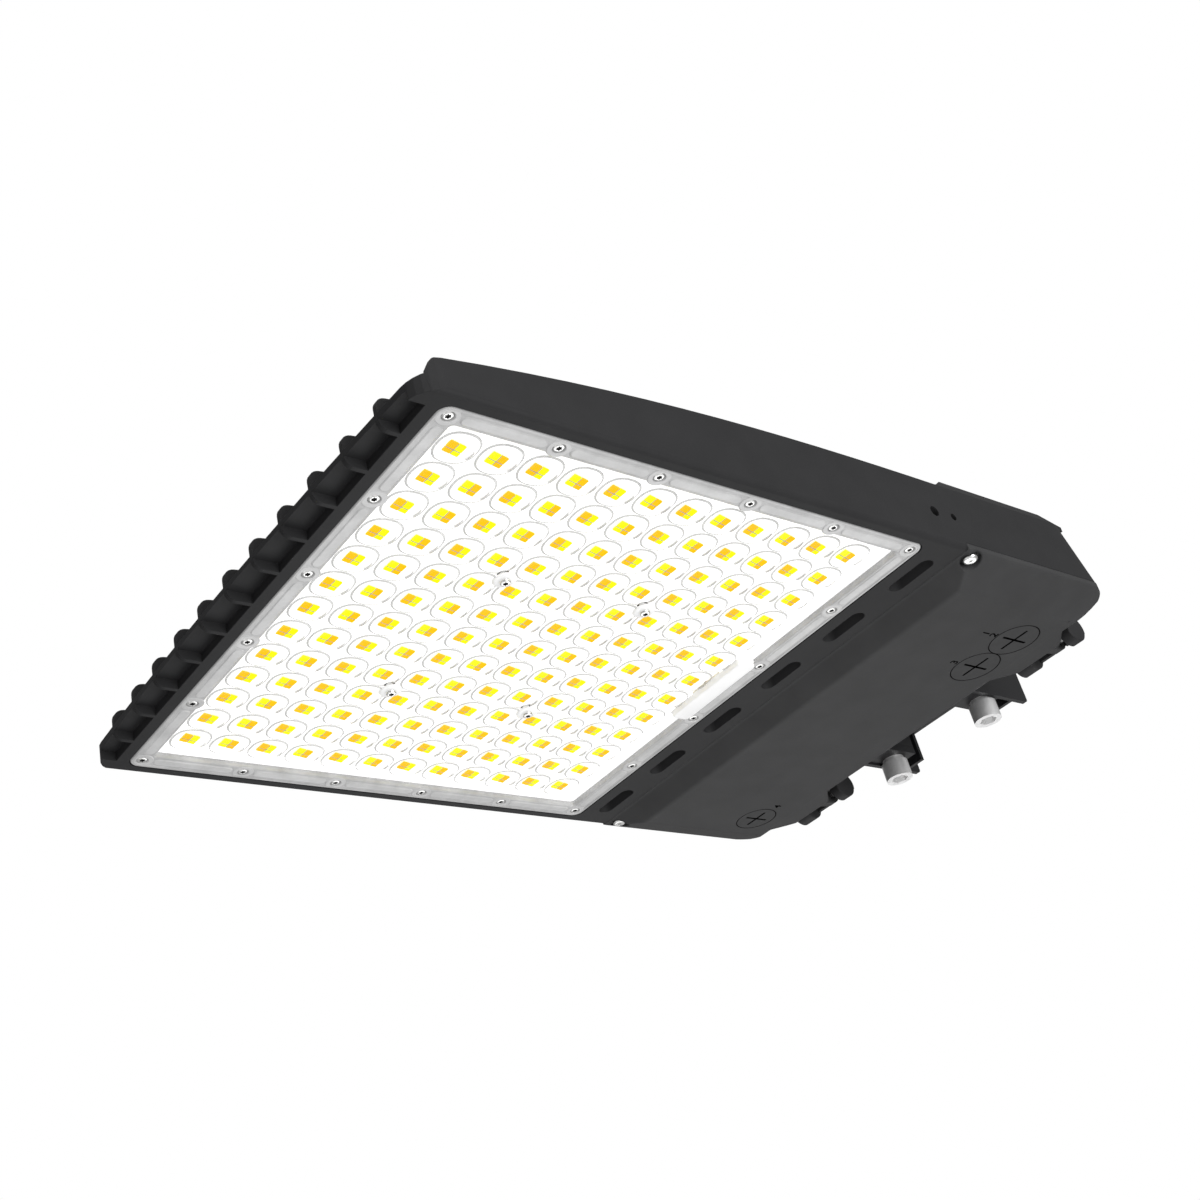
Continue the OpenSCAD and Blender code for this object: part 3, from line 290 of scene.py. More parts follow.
# Near-black painted shade for the screws' drive recesses, which are steel.
DRIVE_SHADE = moulded("drive_recess_painted_shade", (0.02, 0.02, 0.02), 0.5)
BLACK_RUBBER = moulded("black_silicone", (0.012, 0.012, 0.012), 0.7, 0.2)
GREY_RUBBER = moulded("grey_silicone", (0.5, 0.51, 0.52), 0.7, 0.2)
RED_CASE = moulded("surge_case", (0.40, 0.03, 0.02), 0.35)
GREEN_BOARD = moulded("selector_board", (0.02, 0.10, 0.04))
DIAL_ORANGE = moulded("dial_orange", (0.85, 0.25, 0.02), 0.35)
IVORY = moulded("ivory_nylon", (0.80, 0.77, 0.66), 0.5)
BLACK_PLASTIC = moulded("black_plastic", (0.02, 0.02, 0.02))
PLUG_PLASTIC = moulded("plug_plastic", (0.050, 0.050, 0.051), 0.5, 0.08)
RED_WIRE = moulded("red_insulation", (0.5, 0.02, 0.02))
BLACK_WIRE = moulded("black_insulation", (0.015, 0.015, 0.015))
# The same black serves the numerals' print and the painted shade at the plugs.
INK_AND_SHADE = moulded("numeral_ink_and_painted_shade", (0.001, 0.001, 0.001), 0.9, 0.0)
# The boards and the ledge glow with painted light; they are no lamps.
GLOWING_BOARD = painted_glow_white("board_white", 0.62)
# Painted glow on the inner screws' seats and the connector's pocket.
GLOWING_POST = painted_glow_white("optic_post_painted_glow", 0.16)
CLEAR_STEEP_SHADE = clear_optic("clear_acrylic_steep_shade", (0.45, 0.45, 0.44), 0.0, 0.12)
# Painted shade on the domes: a dark grey outline at each dome's edge, and a soft grey band inside
# it and on its crescent.
CONTOUR_SHADE = clear_optic("clear_acrylic_edge_painted_shade", (0.40, 0.40, 0.38), 0.70, 0.85)
VEIL_SHADE = clear_optic("clear_acrylic_step_painted_shade", (0.55, 0.55, 0.54), 0.16, 0.24)
GLOWING_RIM = frosted("frosted_rim_painted_glow", 0.26, 0.38)
GLOWING_RIM_BAR = frosted("frosted_bar_painted_glow", 0.36, 0.48)
LED_ORANGE = phosphor("phosphor_orange", (1.0, 0.56, 0.0))
LED_YELLOW = phosphor("phosphor_yellow", (1.0, 0.98, 0.0))
LED_BODY = moulded("led_ceramic", (0.42, 0.42, 0.52))

# Each material with the carried nodes that it covers
FINISH = (
    (PAINT, "main_housing"),
    (DOOR_PAINT, "door"),
    (BRACKET_PAINT, "pole_bracket"),
    (GREY_RUBBER, "lens_gasket"),
    (BLACK_RUBBER, "door_gasket", "seal_power", "seal_distribution", "seal_sensor",
     "wire_grommet"),
    (GLOWING_BOARD, "led_board_front", "led_board_middle", "led_board_rear"),
    (IVORY, "board_connector", "terminal_block"),
    (SCREW_STEEL, "lens_screws", "driver_screws", "captive_screw_near", "captive_screw_far"),
    (BOLT_STEEL, "clamp_bolts", "split_washers"),
    (PIN_STEEL, "hinge_pin_near", "hinge_pin_far"),
    (CASE, "driver"),
    (RED_CASE, "surge_protector"),
    (GREEN_BOARD, "selector_module"),
    (DIAL_ORANGE, "power_dial", "colour_dial", "distribution_dial"),
    (BLACK_PLASTIC, "sensor_socket"),
    (PLUG_PLASTIC, "plug_power", "plug_distribution", "plug_sensor"),
    (RED_WIRE, "led_leads"),
    (BLACK_WIRE, "supply_leads"),
    (CLEAR_STEEP_SHADE, "lens_plate"),
    (LED_BODY, "led_packages"),
)


def finish_nodes():
    """Gives every carried node its material."""
    for mat, *names in FINISH:
        for name in names:
            slots = nodes[name].material_slots
            if not slots:
                nodes[name].data.materials.append(mat)
            for entry in slots:
                entry.material = mat


# ------------------------------------------------------------------ meshes
def put(name, data):
    """An object in the scene that shows the data."""
    thing = bpy.data.objects.new(name, data)
    bpy.context.scene.collection.objects.link(thing)
    return thing


def make_piece(name, verts, faces, materials, slot, body="head", smooth=False, ids=None):
    """A mesh object from lists, riding on a body."""
    mesh = bpy.data.meshes.new(name)
    mesh.from_pydata([tuple(v) for v in verts], [], faces)
    for mat in materials:
        mesh.materials.append(mat)
    if ids is not None:
        mesh.polygons.foreach_set("material_index", ids)
    if smooth:
        mesh.polygons.foreach_set("use_smooth", [True] * len(mesh.polygons))
    mesh.update()
    piece = put(name, mesh)
    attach(piece, body)
    return piece


def circle(radius, z, steps=32):
    """Points round a circle at a height."""
    turns = [2 * math.pi * k / steps for k in range(steps)]
    return [(radius * math.cos(a), radius * math.sin(a), z) for a in turns]


def superellipse(radius, power, steps):
    """Points round a rounded square, which is a circle at power 2."""
    points = []
    for k in range(steps):
        a = 2 * math.pi * k / steps
        c, s = math.cos(a), math.sin(a)
        r = (abs(c) ** power + abs(s) ** power) ** (-1 / power)
        points.append((radius * r * c, radius * r * s))
    return points


def rounded_outline(length, width, radius, steps=8):
    """Points round a rectangle with rounded corners, centred on x = y = 0."""
    points = []
    for sx, sy, start in ((1, 1, 0), (-1, 1, 90), (-1, -1, 180), (1, -1, 270)):
        cx, cy = sx * (length / 2 - radius), sy * (width / 2 - radius)
        for k in range(steps + 1):
            a = math.radians(start + 90 * k / steps)
            points.append((cx + radius * math.cos(a), cy + radius * math.sin(a)))
    return points


def plate_ring(inset, radius, z):
    """The optic plate's outline, moved in by the inset, at a height."""
    outline = rounded_outline(LENS_L - 2 * inset, LENS_W - 2 * inset, radius)
    return [(x + LENS_X, y, z) for x, y in outline]


def stack_rings(rings, closed_start=False, closed_end=False):
    """Faces between rings of equal count, each a list of 3-D points. Returns verts, faces."""
    n = len(rings[0])
    verts = [p for ring in rings for p in ring]
    faces = []
    for r in range(len(rings) - 1):
        a, b = r * n, (r + 1) * n
        faces += [(a + k, a + (k + 1) % n, b + (k + 1) % n, b + k) for k in range(n)]
    if closed_start:
        faces.append(tuple(reversed(range(n))))
    if closed_end:
        faces.append(tuple(range((len(rings) - 1) * n, len(rings) * n)))
    return verts, faces


def box_part(x0, x1, y0, y1, z0, z1):
    """A box between two corners."""
    verts = [(x, y, z) for z in (z0, z1) for y in (y0, y1) for x in (x0, x1)]
    faces = [(0, 2, 3, 1), (4, 5, 7, 6), (0, 1, 5, 4), (2, 6, 7, 3), (0, 4, 6, 2), (1, 3, 7, 5)]
    return verts, faces


def joined(parts):
    """One pair of verts and faces from many."""
    verts, faces = [], []
    for v, f in parts:
        offset = len(verts)
        verts += v
        faces += [tuple(i + offset for i in face) for face in f]
    return verts, faces


def moved(part, x, y, z=0.0):
    """The part at another place."""
    verts, faces = part
    return [(p[0] + x, p[1] + y, p[2] + z) for p in verts], faces


def bore(piece, cutter):
    """Takes the cutter's shape out of the piece's mesh."""
    tool_mesh = bpy.data.meshes.new("bores")
    tool_mesh.from_pydata(cutter[0], [], cutter[1])
    tool = put("bores", tool_mesh)
    cut = piece.modifiers.new("bores", "BOOLEAN")
    cut.operation = "DIFFERENCE"
    cut.solver = "EXACT"
    cut.object = tool
    graph = bpy.context.evaluated_depsgraph_get()
    result = bpy.data.meshes.new_from_object(piece.evaluated_get(graph))
    piece.modifiers.remove(cut)
    old = piece.data
    piece.data = result
    result.name = piece.name
    bpy.data.meshes.remove(old)
    bpy.data.objects.remove(tool)
    bpy.data.meshes.remove(tool_mesh)


# ------------------------------------------------------------------ field of domes
DOME_R, DOME_STEPS = 10.9 * MM, 40
DOME_SHIFT_X, DOME_SHIFT_Y = -0.4 * MM, -2.6 * MM
# Share of the radius, depth under the field in mm, power of the outline
DOME_RINGS = (
    (1.00, 0.0, 2.4),
    (0.91, 0.41, 2.4),
    (0.905, 0.42, 2.4),
    (0.90, 0.42, 2.4),
    (0.84, 0.46, 2.3),
    (0.79, 0.60, 2.3),
    (0.765, 1.2, 2.3),
    (0.74, 1.9, 2.3),
    (0.69, 2.6, 2.2),
    (0.60, 3.4, 2.2),
    (0.48, 4.0, 2.1),
    (0.34, 4.35, 2.0),
    (0.18, 4.55, 2.0),
    (0.06, 4.6, 2.0),
)
# The field's materials in their order, and how many steps of a dome's profile have them
FIELD_MATERIALS = (CLEAR_STEEP_SHADE, CONTOUR_SHADE, GLOWING_POST, VEIL_SHADE)
CLEAR_ID, CONTOUR_SHADE_ID, POST_ID, VEIL_SHADE_ID = range(len(FIELD_MATERIALS))
CONTOUR_SHADE_STEPS, VEIL_SHADE_STEPS = 1, 3

CRESCENT_IN = DOME_R * 0.66             # from the dome's centre
CRESCENT_HALF, CRESCENT_THICK, CRESCENT_BOW = 4.2 * MM, 0.9 * MM, 1.3 * MM
CRESCENT_RINGS = ((1.0, 1.0), (0.8, 2.6), (0.4, 2.9))   # share of the outline, depth in mm

BUMP_L, BUMP_W, BUMP_EDGE, BUMP_RISE = 13 * MM, 64 * MM, 10.3 * MM, 3.4 * MM
# Inset in mm and share of the rise
BUMP_RINGS = ((-0.6, 0.0), (0.0, 0.18), (0.0, 0.8), (0.4, 0.95), (1.0, 1.0))


def dome():
    """One optic dome with its shoulder, growing down from z = 0."""
    rings = []
    for share, depth, power in DOME_RINGS:
        outline = superellipse(DOME_R * share, power, DOME_STEPS)
        rings.append([(x, y, -depth * MM) for x, y in outline])
    return stack_rings(rings, closed_end=True)


def crescent(steps=16):
    """The small bump that turns light, beside the cap of a dome."""
    rings = []
    for share, depth in CRESCENT_RINGS:
        ring = []
        for k in range(steps):
            a = 2 * math.pi * k / steps
            y = CRESCENT_HALF * share * math.sin(a)
            x = CRESCENT_THICK * share * math.cos(a) - CRESCENT_BOW * (y / CRESCENT_HALF) ** 2
            ring.append((CRESCENT_IN + x, y, -depth * MM))
        rings.append(ring)
    return stack_rings(rings, closed_end=True)


def dome_ids(faces):
    """Material of each of a dome's faces, which follow its profile ring by ring: painted shade as
    a grey outline, then a soft grey band, then clear plastic.
    """
    ids = [CONTOUR_SHADE_ID] * (CONTOUR_SHADE_STEPS * DOME_STEPS) + [VEIL_SHADE_ID] * (VEIL_SHADE_STEPS * DOME_STEPS)
    return ids + [CLEAR_ID] * (len(faces) - len(ids))


def turned_post():
    """The low round seat of an inner screw, with an eased foot and edge."""
    rise = (FIELD_Z - POST_Z) / MM
    profile = ((6.6, 0.0), (6.2, 0.25), (5.9, rise - 0.15), (5.6, rise), (2.4, rise))
    return stack_rings([circle(r * MM, FIELD_Z - d * MM) for r, d in profile], closed_end=True)


def connector_bump():
    """The raised pocket over the boards' connector."""
    middle = LENS_HIGH.x - BUMP_EDGE - BUMP_L / 2
    rings = []
    for inset, share in BUMP_RINGS:
        outline = rounded_outline(BUMP_L - 2 * inset * MM, BUMP_W - 2 * inset * MM, 3 * MM)
        rings.append([(x + middle, y, FIELD_Z - share * BUMP_RISE) for x, y in outline])
    return stack_rings(rings, closed_end=True)


def make_optics():
    """The plate's field: the clear slab, the domes, the inner screws' seats and the pocket."""
    slab = stack_rings(
        [plate_ring(RIM_BAND, LENS_CORNER, z) for z in (FIELD_Z, LENS_TOP)],
        closed_start=True,
        closed_end=True,
    )
    cap, step = dome(), crescent()
    optic = joined([cap, step])
    # The crescent takes the soft grey painted shade.
    optic_ids = dome_ids(cap[1]) + [VEIL_SHADE_ID] * len(step[1])
    parts, ids = [slab], [CLEAR_ID] * len(slab[1])
    for _, x, y in led_places():
        parts.append(moved(optic, x + DOME_SHIFT_X, y + DOME_SHIFT_Y, FIELD_Z))
        ids += optic_ids
    parts += [moved(turned_post(), x, y) for x, y in inner_screws()]
    parts.append(connector_bump())
    verts, faces = joined(parts)
    # The seats and the pocket take the white with painted glow.
    ids += [POST_ID] * (len(faces) - len(ids))
    optics = make_piece("optic_field", verts, faces, FIELD_MATERIALS, "clear_optic",
                        smooth=True, ids=ids)
    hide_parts("lens_plate")


# ------------------------------------------------------------------ rim of the plate
BAR_HALF = 2.6 * MM
BAR_END = 9.5 * MM                      # from a screw's centre to the bar's end
BAR_STEPS = 8
# Inset in mm and share of the height
BAR_RINGS = ((-0.4, 0.0), (0.0, 0.6), (0.35, 1.0))
RIM_BACK = LENS_TOP - 0.1 * MM
RIM_LEAST_CORNER = 2.5 * MM
# Inset and height of the rim's section, from its outer wall to its inner wall
RIM_SECTION = (
    (0.0, RIM_BACK),
    (0.0, RIM_Z + 0.4 * MM),
    (0.4 * MM, RIM_Z),
    (1.5 * MM, RIM_Z),
    (2.0 * MM, RIM_FACE),
    (RIM_BAND - 0.9 * MM, RIM_FACE),
    (RIM_BAND - 0.3 * MM, RIM_FACE + 0.3 * MM),
    (RIM_BAND, FIELD_Z),
    (RIM_BAND, RIM_BACK),
)
# Radius and height of the ring round a screw
COLLAR = (
    (SCREW_SINK_R, RIM_FACE + MM),
    (3.5 * MM, RIM_Z + 0.15 * MM),
    (5.6 * MM, RIM_Z + 0.15 * MM),
    (6.1 * MM, RIM_FACE),
)
# Inset in mm and height over the plate in mm, round the band's section
LEDGE_SECTION = ((9.5, 0.4), (9.5, 0.1), (18.5, 0.1), (18.5, 0.4))


def bar(x0, y0, x1, y1):
    """A low bar with round ends from one point to another, its edges eased."""
    along = Vector((x1 - x0, y1 - y0)).normalized()
    side = Vector((-along.y, along.x))
    rings = []
    for inset, share in BAR_RINGS:
        r = BAR_HALF - inset * MM
        ring = []
        for centre, turn in ((Vector((x1, y1)), -90), (Vector((x0, y0)), 90)):
            for k in range(BAR_STEPS + 1):
                a = math.radians(turn + 180 * k / BAR_STEPS)
                p = centre + r * (math.cos(a) * along + math.sin(a) * side)
                ring.append((p.x, p.y, RIM_FACE + (RIM_Z - RIM_FACE) * share))
        rings.append(ring)
    return stack_rings(rings, closed_end=True)


def make_rim():
    """The plate's frosted rim, with a bore for each screw."""
    rings = [
        plate_ring(inset, max(LENS_CORNER - inset, RIM_LEAST_CORNER), z)
        for inset, z in RIM_SECTION
    ]
    rim = make_piece("optic_rim", *stack_rings(rings + [rings[0]]), [GLOWING_RIM], "clear_optic")
    ends = [circle(SCREW_SINK_R, z) for z in (RIM_Z - MM, RIM_Z + SCREW_SINK)]
    hole = stack_rings(ends, closed_start=True, closed_end=True)
    bore(rim, joined([moved(hole, x, y) for x, y in rim_screws()]))
    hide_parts("lens_plate")


def make_bars():
    """The rim's lighter bars, one between each two screws."""
    parts = []
    places = rim_screws()
    step_x = (LENS_L - 2 * SCREW_IN_X) / (SCREW_N - 1)
    step_y = (LENS_W - 2 * SCREW_IN_Y) / (SCREW_N - 1)
    low_x, low_y = places[0]
    high_x, high_y = places[-1]
    for k in range(SCREW_N - 1):
        x0, x1 = low_x + k * step_x + BAR_END, low_x + (k + 1) * step_x - BAR_END
        y0, y1 = low_y + k * step_y + BAR_END, low_y + (k + 1) * step_y - BAR_END
        parts += [bar(x0, y, x1, y) for y in (low_y, high_y)]
        parts += [bar(x, y0, x, y1) for x in (low_x, high_x)]
    bars = make_piece("optic_bars", *joined(parts), [GLOWING_RIM_BAR], "clear_optic")
    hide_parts("lens_plate")


def make_collars():
    """The lighter rings round the rim's screws."""
    ring = stack_rings([circle(r, z) for r, z in COLLAR])
    parts = [moved(ring, x, y) for x, y in rim_screws()]
    collars = make_piece("optic_collars", *joined(parts), [GLOWING_RIM_BAR], "clear_optic")
    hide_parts("lens_plate")


def make_ledge():
    """The white band behind the field's edge, where the boards end, glowing with the boards'
    painted light.
    """
    rings = [
        plate_ring(inset * MM, LENS_CORNER, LENS_TOP + z * MM) for inset, z in LEDGE_SECTION
    ]
    make_piece("optic_ledge", *stack_rings(rings + [rings[0]]), [GLOWING_BOARD], "clear_optic")


# ------------------------------------------------------------------ screws of the plate
STAR_STEPS, STAR_LOBES, STAR_SWING = 48, 6, 0.17
# Radius and height in mm of the shank and head, then of the drive's recess
SCREW_PROFILE = ((2.0, 6.0), (2.0, 0.0), (2.9, 0.0), (2.9, -0.9), (2.75, -1.35), (2.35, -1.68),
                 (1.9, -1.8))
STAR_PROFILE = ((1.4, -1.8), (1.35, -1.0))


def star_ring(radius, z):
    """The outline of a six-lobed drive."""
    ring = []
    for k in range(STAR_STEPS):
        a = 2 * math.pi * k / STAR_STEPS
        r = radius * (1 + STAR_SWING * math.cos(STAR_LOBES * a))
        ring.append((r * math.cos(a), r * math.sin(a), z))
    return ring


def plate_screw():
    """A pan head screw, its head under z = 0. Returns its mesh and its faces' materials."""
    rings = [circle(r * MM, z * MM, STAR_STEPS) for r, z in SCREW_PROFILE]
    rings += [star_ring(r * MM, z * MM) for r, z in STAR_PROFILE]
    part = stack_rings(rings, closed_start=True, closed_end=True)
    # The recess's wall and floor take the second material, a near-black painted shade.
    ids = [0] * (len(SCREW_PROFILE) * STAR_STEPS) + [1] * STAR_STEPS
    return part, ids + [0, 1]           # the shank's end, and the recess's floor


def make_plate_screws():
    """The plate's screws, round the rim and inside the field."""
    parts, ids = [], []
    screw, screw_ids = plate_screw()
    for places, face in ((rim_screws(), RIM_Z + SCREW_SINK), (inner_screws(), POST_Z)):
        for x, y in places:
            parts.append(moved(screw, x, y, face))
            ids += screw_ids
    piece = make_piece("plate_screws", *joined(parts), [SCREW_STEEL, DRIVE_SHADE], "screw_steel",
                       ids=ids)
    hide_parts("lens_screws")


# ------------------------------------------------------------------ light sources
# The dies as the domes show them: sizes along x and y, and the gap between them
DIE_X = (4.5 * MM, 4.2 * MM)
DIE_Y = (4.2 * MM, 2.6 * MM)
DIE_GAP = 0.55 * MM
DIE_LOW, DIE_HIGH, DIE_STAND = -0.5 * MM, 0.3 * MM, 0.1 * MM
DIE_SHIFT_X, DIE_SHIFT_Y = 0.6 * MM, 0.3 * MM
DIE_LEAN_X, DIE_LEAN_Y = -0.075, 0.195  # how far the domes seem to turn them


def leaned(part, x, y):
    """The part sheared about a place, as the dome shows it."""
    verts, faces = part
    return [(a + DIE_LEAN_X * (b - y), b + DIE_LEAN_Y * (a - x), z) for a, b, z in verts], faces


def die_spans(centre, sizes):
    """Start and end of the two dies along one axis, with the gap between them."""
    middle = centre + (sizes[0] - sizes[1]) / 2
    return (
        (middle - DIE_GAP / 2 - sizes[0], middle - DIE_GAP / 2),
        (middle + DIE_GAP / 2, middle + DIE_GAP / 2 + sizes[1]),
    )


def make_leds():
    """Four dies on each light source, in two colours that swap from column to column."""
    z0, z1 = LED_LOW.z + DIE_LOW, LED_LOW.z + DIE_HIGH
    half_x, half_y = sum(DIE_X) / 2, sum(DIE_Y) / 2
    bodies = []
    dies = {"orange": [], "yellow": []}
    for column, x, y in led_places():
        colours = ("orange", "yellow") if column % 2 == 0 else ("yellow", "orange")
        x, y = x + DIE_SHIFT_X, y + DIE_SHIFT_Y
        whole = box_part(x - half_x, x + half_x, y - half_y, y + half_y, z0 + DIE_STAND, z1)
        bodies.append(leaned(whole, x, y))
        for colour, (x0, x1) in zip(colours, die_spans(x, DIE_X)):
            for y0, y1 in die_spans(y, DIE_Y):
                dies[colour].append(leaned(box_part(x0, x1, y0, y1, z0, z1), x, y))
    body = make_piece("led_bodies", *joined(bodies), [LED_BODY], "led_phosphor")
    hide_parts("led_packages")
    for colour, mat in (("orange", LED_ORANGE), ("yellow", LED_YELLOW)):
        piece = make_piece(f"led_dies_{colour}", *joined(dies[colour]), [mat], "led_phosphor")
        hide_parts("led_packages")


# ------------------------------------------------------------------ marks and painted shade on the door
PLUG_X = 279 * MM - ORIGIN_X * MM
# Body, place across the head in mm, radius in mm
PLUGS = (
    ("power_plug", -115.5, 15.3),
    ("distribution_plug", -84.1, 15.3),
    ("sensor_plug", 120.0, 13.5),
)
# Black bars of painted shade in each plug's cross slot
CROSS_W, CROSS_SHARE = 1.66 * MM, 0.675
CROSS_LOW, CROSS_HIGH = 0.06 * MM, 1.3 * MM
# A black ring of painted shade in the gap round each plug
# Distance outside the plug and height over the door's face, in mm
GAP_SECTION = ((0.14, 0.5), (0.12, -0.02), (0.62, -0.02), (0.6, 0.5))
GAP_STEPS = 64

# Number, place along the head, place across the head
NUMERALS = (
    ("1", PLUG_X - 26 * MM, -115.5 * MM),
    ("2", PLUG_X - 19 * MM, -115.5 * MM),
    ("3", PLUG_X - 19.5 * MM, -84 * MM),
    ("4", PLUG_X + 3 * MM, 101 * MM),
)
NUMERAL_SIZE, NUMERAL_DEPTH, NUMERAL_WEIGHT = 8 * MM, 0.06 * MM, 0.12 * MM
NUMERAL_SINK = 0.03 * MM
# Numerals read from below, with their tops towards the light sources
FACING_DOWN = Matrix(((0, -1, 0, 0), (-1, 0, 0, 0), (0, 0, -1, 0), (0, 0, 0, 1)))


def make_plug_shade():
    """Painted shade: a black ring in the gap round each plug, and black bars in its cross slot.
    """
    face = DOOR_LOW.z
    gaps = []
    for body, y, r in PLUGS:
        y, r = y * MM, r * MM
        section = [circle(r + d * MM, face + h * MM, GAP_STEPS) for d, h in GAP_SECTION]
        gaps.append(moved(stack_rings(section), PLUG_X, y))
        reach, half = r * CROSS_SHARE, CROSS_W / 2
        z0, z1 = face + CROSS_LOW, face + CROSS_HIGH
        cross = joined([
            box_part(PLUG_X - reach, PLUG_X + reach, y - half, y + half, z0, z1),
            box_part(PLUG_X - half, PLUG_X + half, y - reach, y + reach, z0, z1),
        ])
        make_piece("cross_painted_shade_" + body, *cross, [INK_AND_SHADE], "plug_plastic", body=body)
    make_piece("plug_gaps_painted_shade", *joined(gaps), [INK_AND_SHADE], "door_paint", body="door")


def make_numerals():
    """Plain numerals on the door, beside its plugs."""
    for text, x, y in NUMERALS:
        curve = bpy.data.curves.new("numeral_" + text, "FONT")
        curve.body = text
        curve.size = NUMERAL_SIZE
        curve.extrude = NUMERAL_DEPTH
        curve.offset = NUMERAL_WEIGHT
        curve.align_x = "CENTER"
        curve.align_y = "CENTER"
        shape = put("numeral_curve", curve)
        graph = bpy.context.evaluated_depsgraph_get()
        mesh = bpy.data.meshes.new_from_object(shape.evaluated_get(graph))
        bpy.data.objects.remove(shape)
        place = Matrix.Translation((x, y, DOOR_LOW.z + NUMERAL_SINK))
        mesh.transform(place @ FACING_DOWN)
        mesh.materials.clear()
        mesh.materials.append(INK_AND_SHADE)
        piece = put("numeral_" + text, mesh)
        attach(piece, "door")


# ------------------------------------------------------------------ rear of the head
# Boxes as x, y and z pairs in drawn millimetres
TONGUE_CUTS = ((314.5, 366, -29, 29, 5, 18.5), (352, 366, -60, 60, 5, 40))
BRACKET_CUTS = ((352, 361.2, -48.2, 48.2, 0.5, 7.5), (359, 366, -32.5, 32.5, -2, 20))
DECK = (312, 346, -29.2, 29.2, 18.5, 21.5)

HINGE_X, HINGE_Z = (333.5 - ORIGIN_X) * MM, (2.9 - ORIGIN_Z) * MM
HINGE_STARTS = (-126.5 * MM, 80.5 * MM)
# Start and end across each hinge, in mm: its two round lugs, and the plates beside them
LUGS = ((0.0, 7.6), (33.8, 46.0))
WEBS = ((7.0, 13.5), (20.3, 34.5))
LUG_LAP = 0.06                          # over the casting's own half lugs, in mm
LUG_R = 9.06 * MM
LUG_EASE = 0.5
LUG_STEPS, LUG_FROM, LUG_TURN = 64, -178, 268
LUG_ARM = ((-16.0, 13.4), (-22.0, 15.2), (-22.0, 1.3))
WEB_X, WEB_HALF = (4.6 * MM, 7.4 * MM), 3.9 * MM

GROMMET_BORE, GROMMET_R, GROMMET_EASED_R, GROMMET_EASE = 5.0, 10.3, 9.8, 0.6


def drawn_box(x0, x1, y0, y1, z0, z1):
    """A box given in drawn millimetres."""
    return box_part((x0 - ORIGIN_X) * MM, (x1 - ORIGIN_X) * MM, y0 * MM, y1 * MM,
                    (z0 - ORIGIN_Z) * MM, (z1 - ORIGIN_Z) * MM)


def carved(node, name, cuts, mat):
    """A copy of a node's shape with boxes taken out one by one, shown in the node's place."""
    piece = put(name, nodes[node].data.copy())
    piece.data.name = name
    piece.matrix_world = nodes[node].matrix_world
    bpy.context.view_layer.update()
    for cut in cuts:
        bore(piece, drawn_box(*cut))
    piece.data.materials.clear()
    piece.data.materials.append(mat)
    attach(piece, "head")
    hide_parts(node)


def lug_part(y0, y1):
    """A round hinge lug with eased rims, and the arm that joins it to the bay."""
    ease = LUG_EASE * MM
    rings = []
    for y, inset in ((y0, LUG_EASE), (y0 + ease, 0.0), (y1 - ease, 0.0), (y1, LUG_EASE)):
        r = LUG_R - inset * MM
        ring = []
        for k in range(LUG_STEPS + 1):
            a = math.radians(LUG_FROM + LUG_TURN * k / LUG_STEPS)
            ring.append((HINGE_X + r * math.cos(a), y, HINGE_Z + r * math.sin(a)))
        ring += [
            (HINGE_X + (x + inset / 2) * MM, y, HINGE_Z + z * MM) for x, z in LUG_ARM
        ]
        rings.append(ring)
    return stack_rings(rings, closed_start=True, closed_end=True)


def make_grommet():
    """The grommet in the bracket's wire hole, with lips that stay behind the plates."""
    start, stop = GROMMET_LOW.x / MM, GROMMET_HIGH.x / MM
    profile = (
        (GROMMET_BORE, stop),
        (GROMMET_EASED_R, stop),
        (GROMMET_R, stop - GROMMET_EASE),
        (GROMMET_R, start + GROMMET_EASE),
        (GROMMET_EASED_R, start),
        (GROMMET_BORE, start),
        (GROMMET_BORE, stop),
    )
    rings = [[(z, x, y) for x, y, z in circle(r * MM, at * MM)] for r, at in profile]
    piece = make_piece("cable_grommet", *stack_rings(rings), [BLACK_RUBBER], "seal_black",
                       smooth=True)
    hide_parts("wire_grommet")


def make_rear():
    """The tongue between the clamp seats, the bracket's open foot and the whole hinge lugs."""
    carved("main_housing", "housing_casting", TONGUE_CUTS, PAINT)
    carved("pole_bracket", "bracket_plates", BRACKET_CUTS, BRACKET_PAINT)
    make_piece("tongue_deck", *drawn_box(*DECK), [PAINT], "housing_paint")
    parts = []
    for start in HINGE_STARTS:
        for y0, y1 in LUGS:
            parts.append(lug_part(start + (y0 - LUG_LAP) * MM, start + (y1 + LUG_LAP) * MM))
        for y0, y1 in WEBS:
            parts.append(box_part(HINGE_X + WEB_X[0], HINGE_X + WEB_X[1],
                                  start + y0 * MM, start + y1 * MM,
                                  HINGE_Z - WEB_HALF, HINGE_Z + WEB_HALF))
    make_piece("hinge_lugs", *joined(parts), [PAINT], "housing_paint")


# ------------------------------------------------------------------ camera, light, floor
CAMERA_PLACE = Vector((-0.8611, -0.5570, -0.4574))
CAMERA_RIGHT = Vector((0.77398, -0.59291, -0.22231))
CAMERA_UP = Vector((-0.17103, -0.53377, 0.82815))
FOCAL_PIXELS = 1602.1
PHOTO_PIXELS = 1200
SENSOR = 36.0
FLOOR_Z, FLOOR_HALF = -1.6, 12
AMBIENT = 0.3
# Name, place, aim, side of its square, power
LIGHTS = (
    ("soft_key", (0.55, 0.8, -1.35), (-0.3, 0, 0), 1.4, 10),
    ("top_soft", (-0.5, -0.5, 1.7), (-0.3, 0, 0), 1.6, 26),
    ("front_fill", (-1.5, 0.3, -1.0), (-0.5, 0, 0), 1.0, 1.5),
    ("side_fill", (-0.3, -1.9, -0.5), (-0.3, 0, 0), 1.4, 33),
)


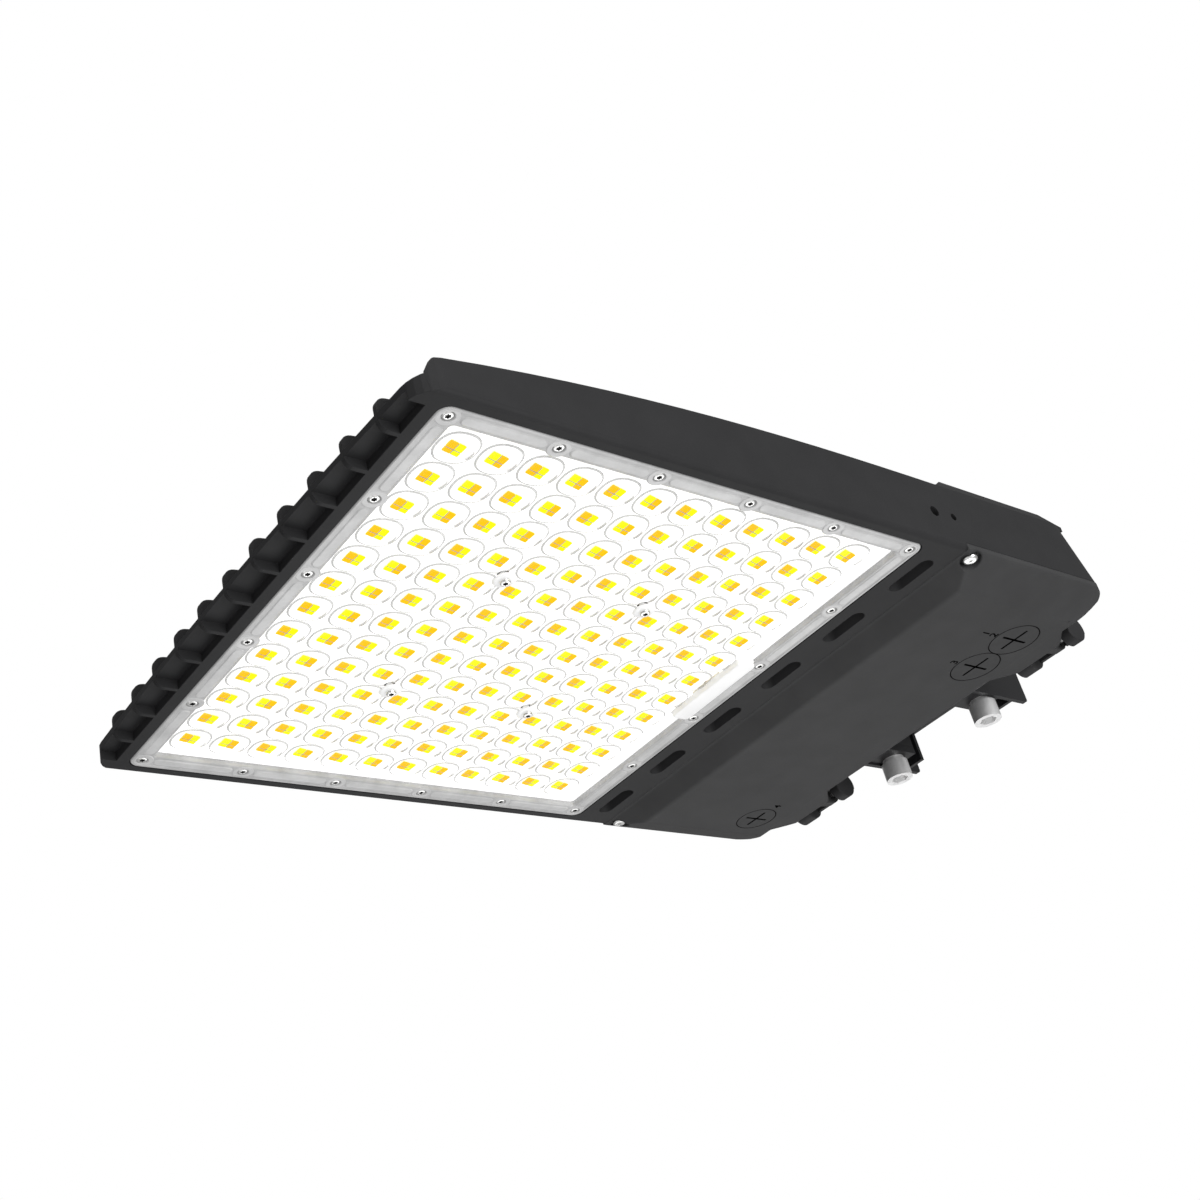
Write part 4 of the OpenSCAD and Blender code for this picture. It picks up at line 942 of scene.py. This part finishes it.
def make_camera():
    """The camera at the photograph's place, with its focal length."""
    data = bpy.data.cameras.new("camera")
    data.sensor_fit = "HORIZONTAL"
    data.sensor_width = SENSOR
    data.lens = SENSOR * FOCAL_PIXELS / PHOTO_PIXELS
    data.clip_start = 0.01
    data.clip_end = 50
    camera = put("camera", data)
    back = CAMERA_RIGHT.cross(CAMERA_UP)
    axes = Matrix((CAMERA_RIGHT, CAMERA_UP, back)).transposed()
    camera.matrix_world = Matrix.Translation(CAMERA_PLACE) @ axes.to_4x4()
    bpy.context.scene.camera = camera


def make_floor():
    """A pale floor, well below the head."""
    mesh = bpy.data.meshes.new("floor")
    corners = [(-1, -1), (1, -1), (1, 1), (-1, 1)]
    mesh.from_pydata([(x * FLOOR_HALF, y * FLOOR_HALF, FLOOR_Z) for x, y in corners], [],
                     [(0, 1, 2, 3)])
    mat, tree, shader = new_material("pale_floor")
    cloud = object_noise(tree, 0.8)
    mottle(tree, shader.inputs["Base Color"], cloud, (0.86, 0.86, 0.86), (0.88, 0.88, 0.88))
    settle(shader, Roughness=0.9)
    mesh.materials.append(mat)
    floor = put("floor", mesh)


def make_light(name, place, target, size, power):
    """A soft square light, turned to its target."""
    data = bpy.data.lights.new(name, "AREA")
    data.shape = "SQUARE"
    data.size = size
    data.energy = power
    aim = (Vector(target) - Vector(place)).to_track_quat("-Z", "Y")
    put(name, data).matrix_world = Matrix.Translation(place) @ aim.to_matrix().to_4x4()


def make_world():
    """A white surround to look at, that lights the head less than it shows."""
    world = bpy.data.worlds.new("studio")
    world.use_nodes = True
    tree = world.node_tree
    background = tree.nodes["Background"]
    settle(background, Color=(1, 1, 1, 1))
    seen = tree.nodes.new("ShaderNodeLightPath")
    strength = span(tree, seen.outputs["Is Camera Ray"], AMBIENT, 1.0)
    tree.links.new(strength.outputs["Result"], background.inputs["Strength"])
    bpy.context.scene.world = world


finish_nodes()
make_optics()
make_rim()
make_bars()
make_collars()
make_ledge()
make_leds()
make_plate_screws()
make_numerals()
make_plug_shade()
make_grommet()
make_rear()
make_camera()
make_floor()
make_world()
for light in LIGHTS:
    make_light(*light)
bpy.context.scene.view_settings.view_transform = "Standard"
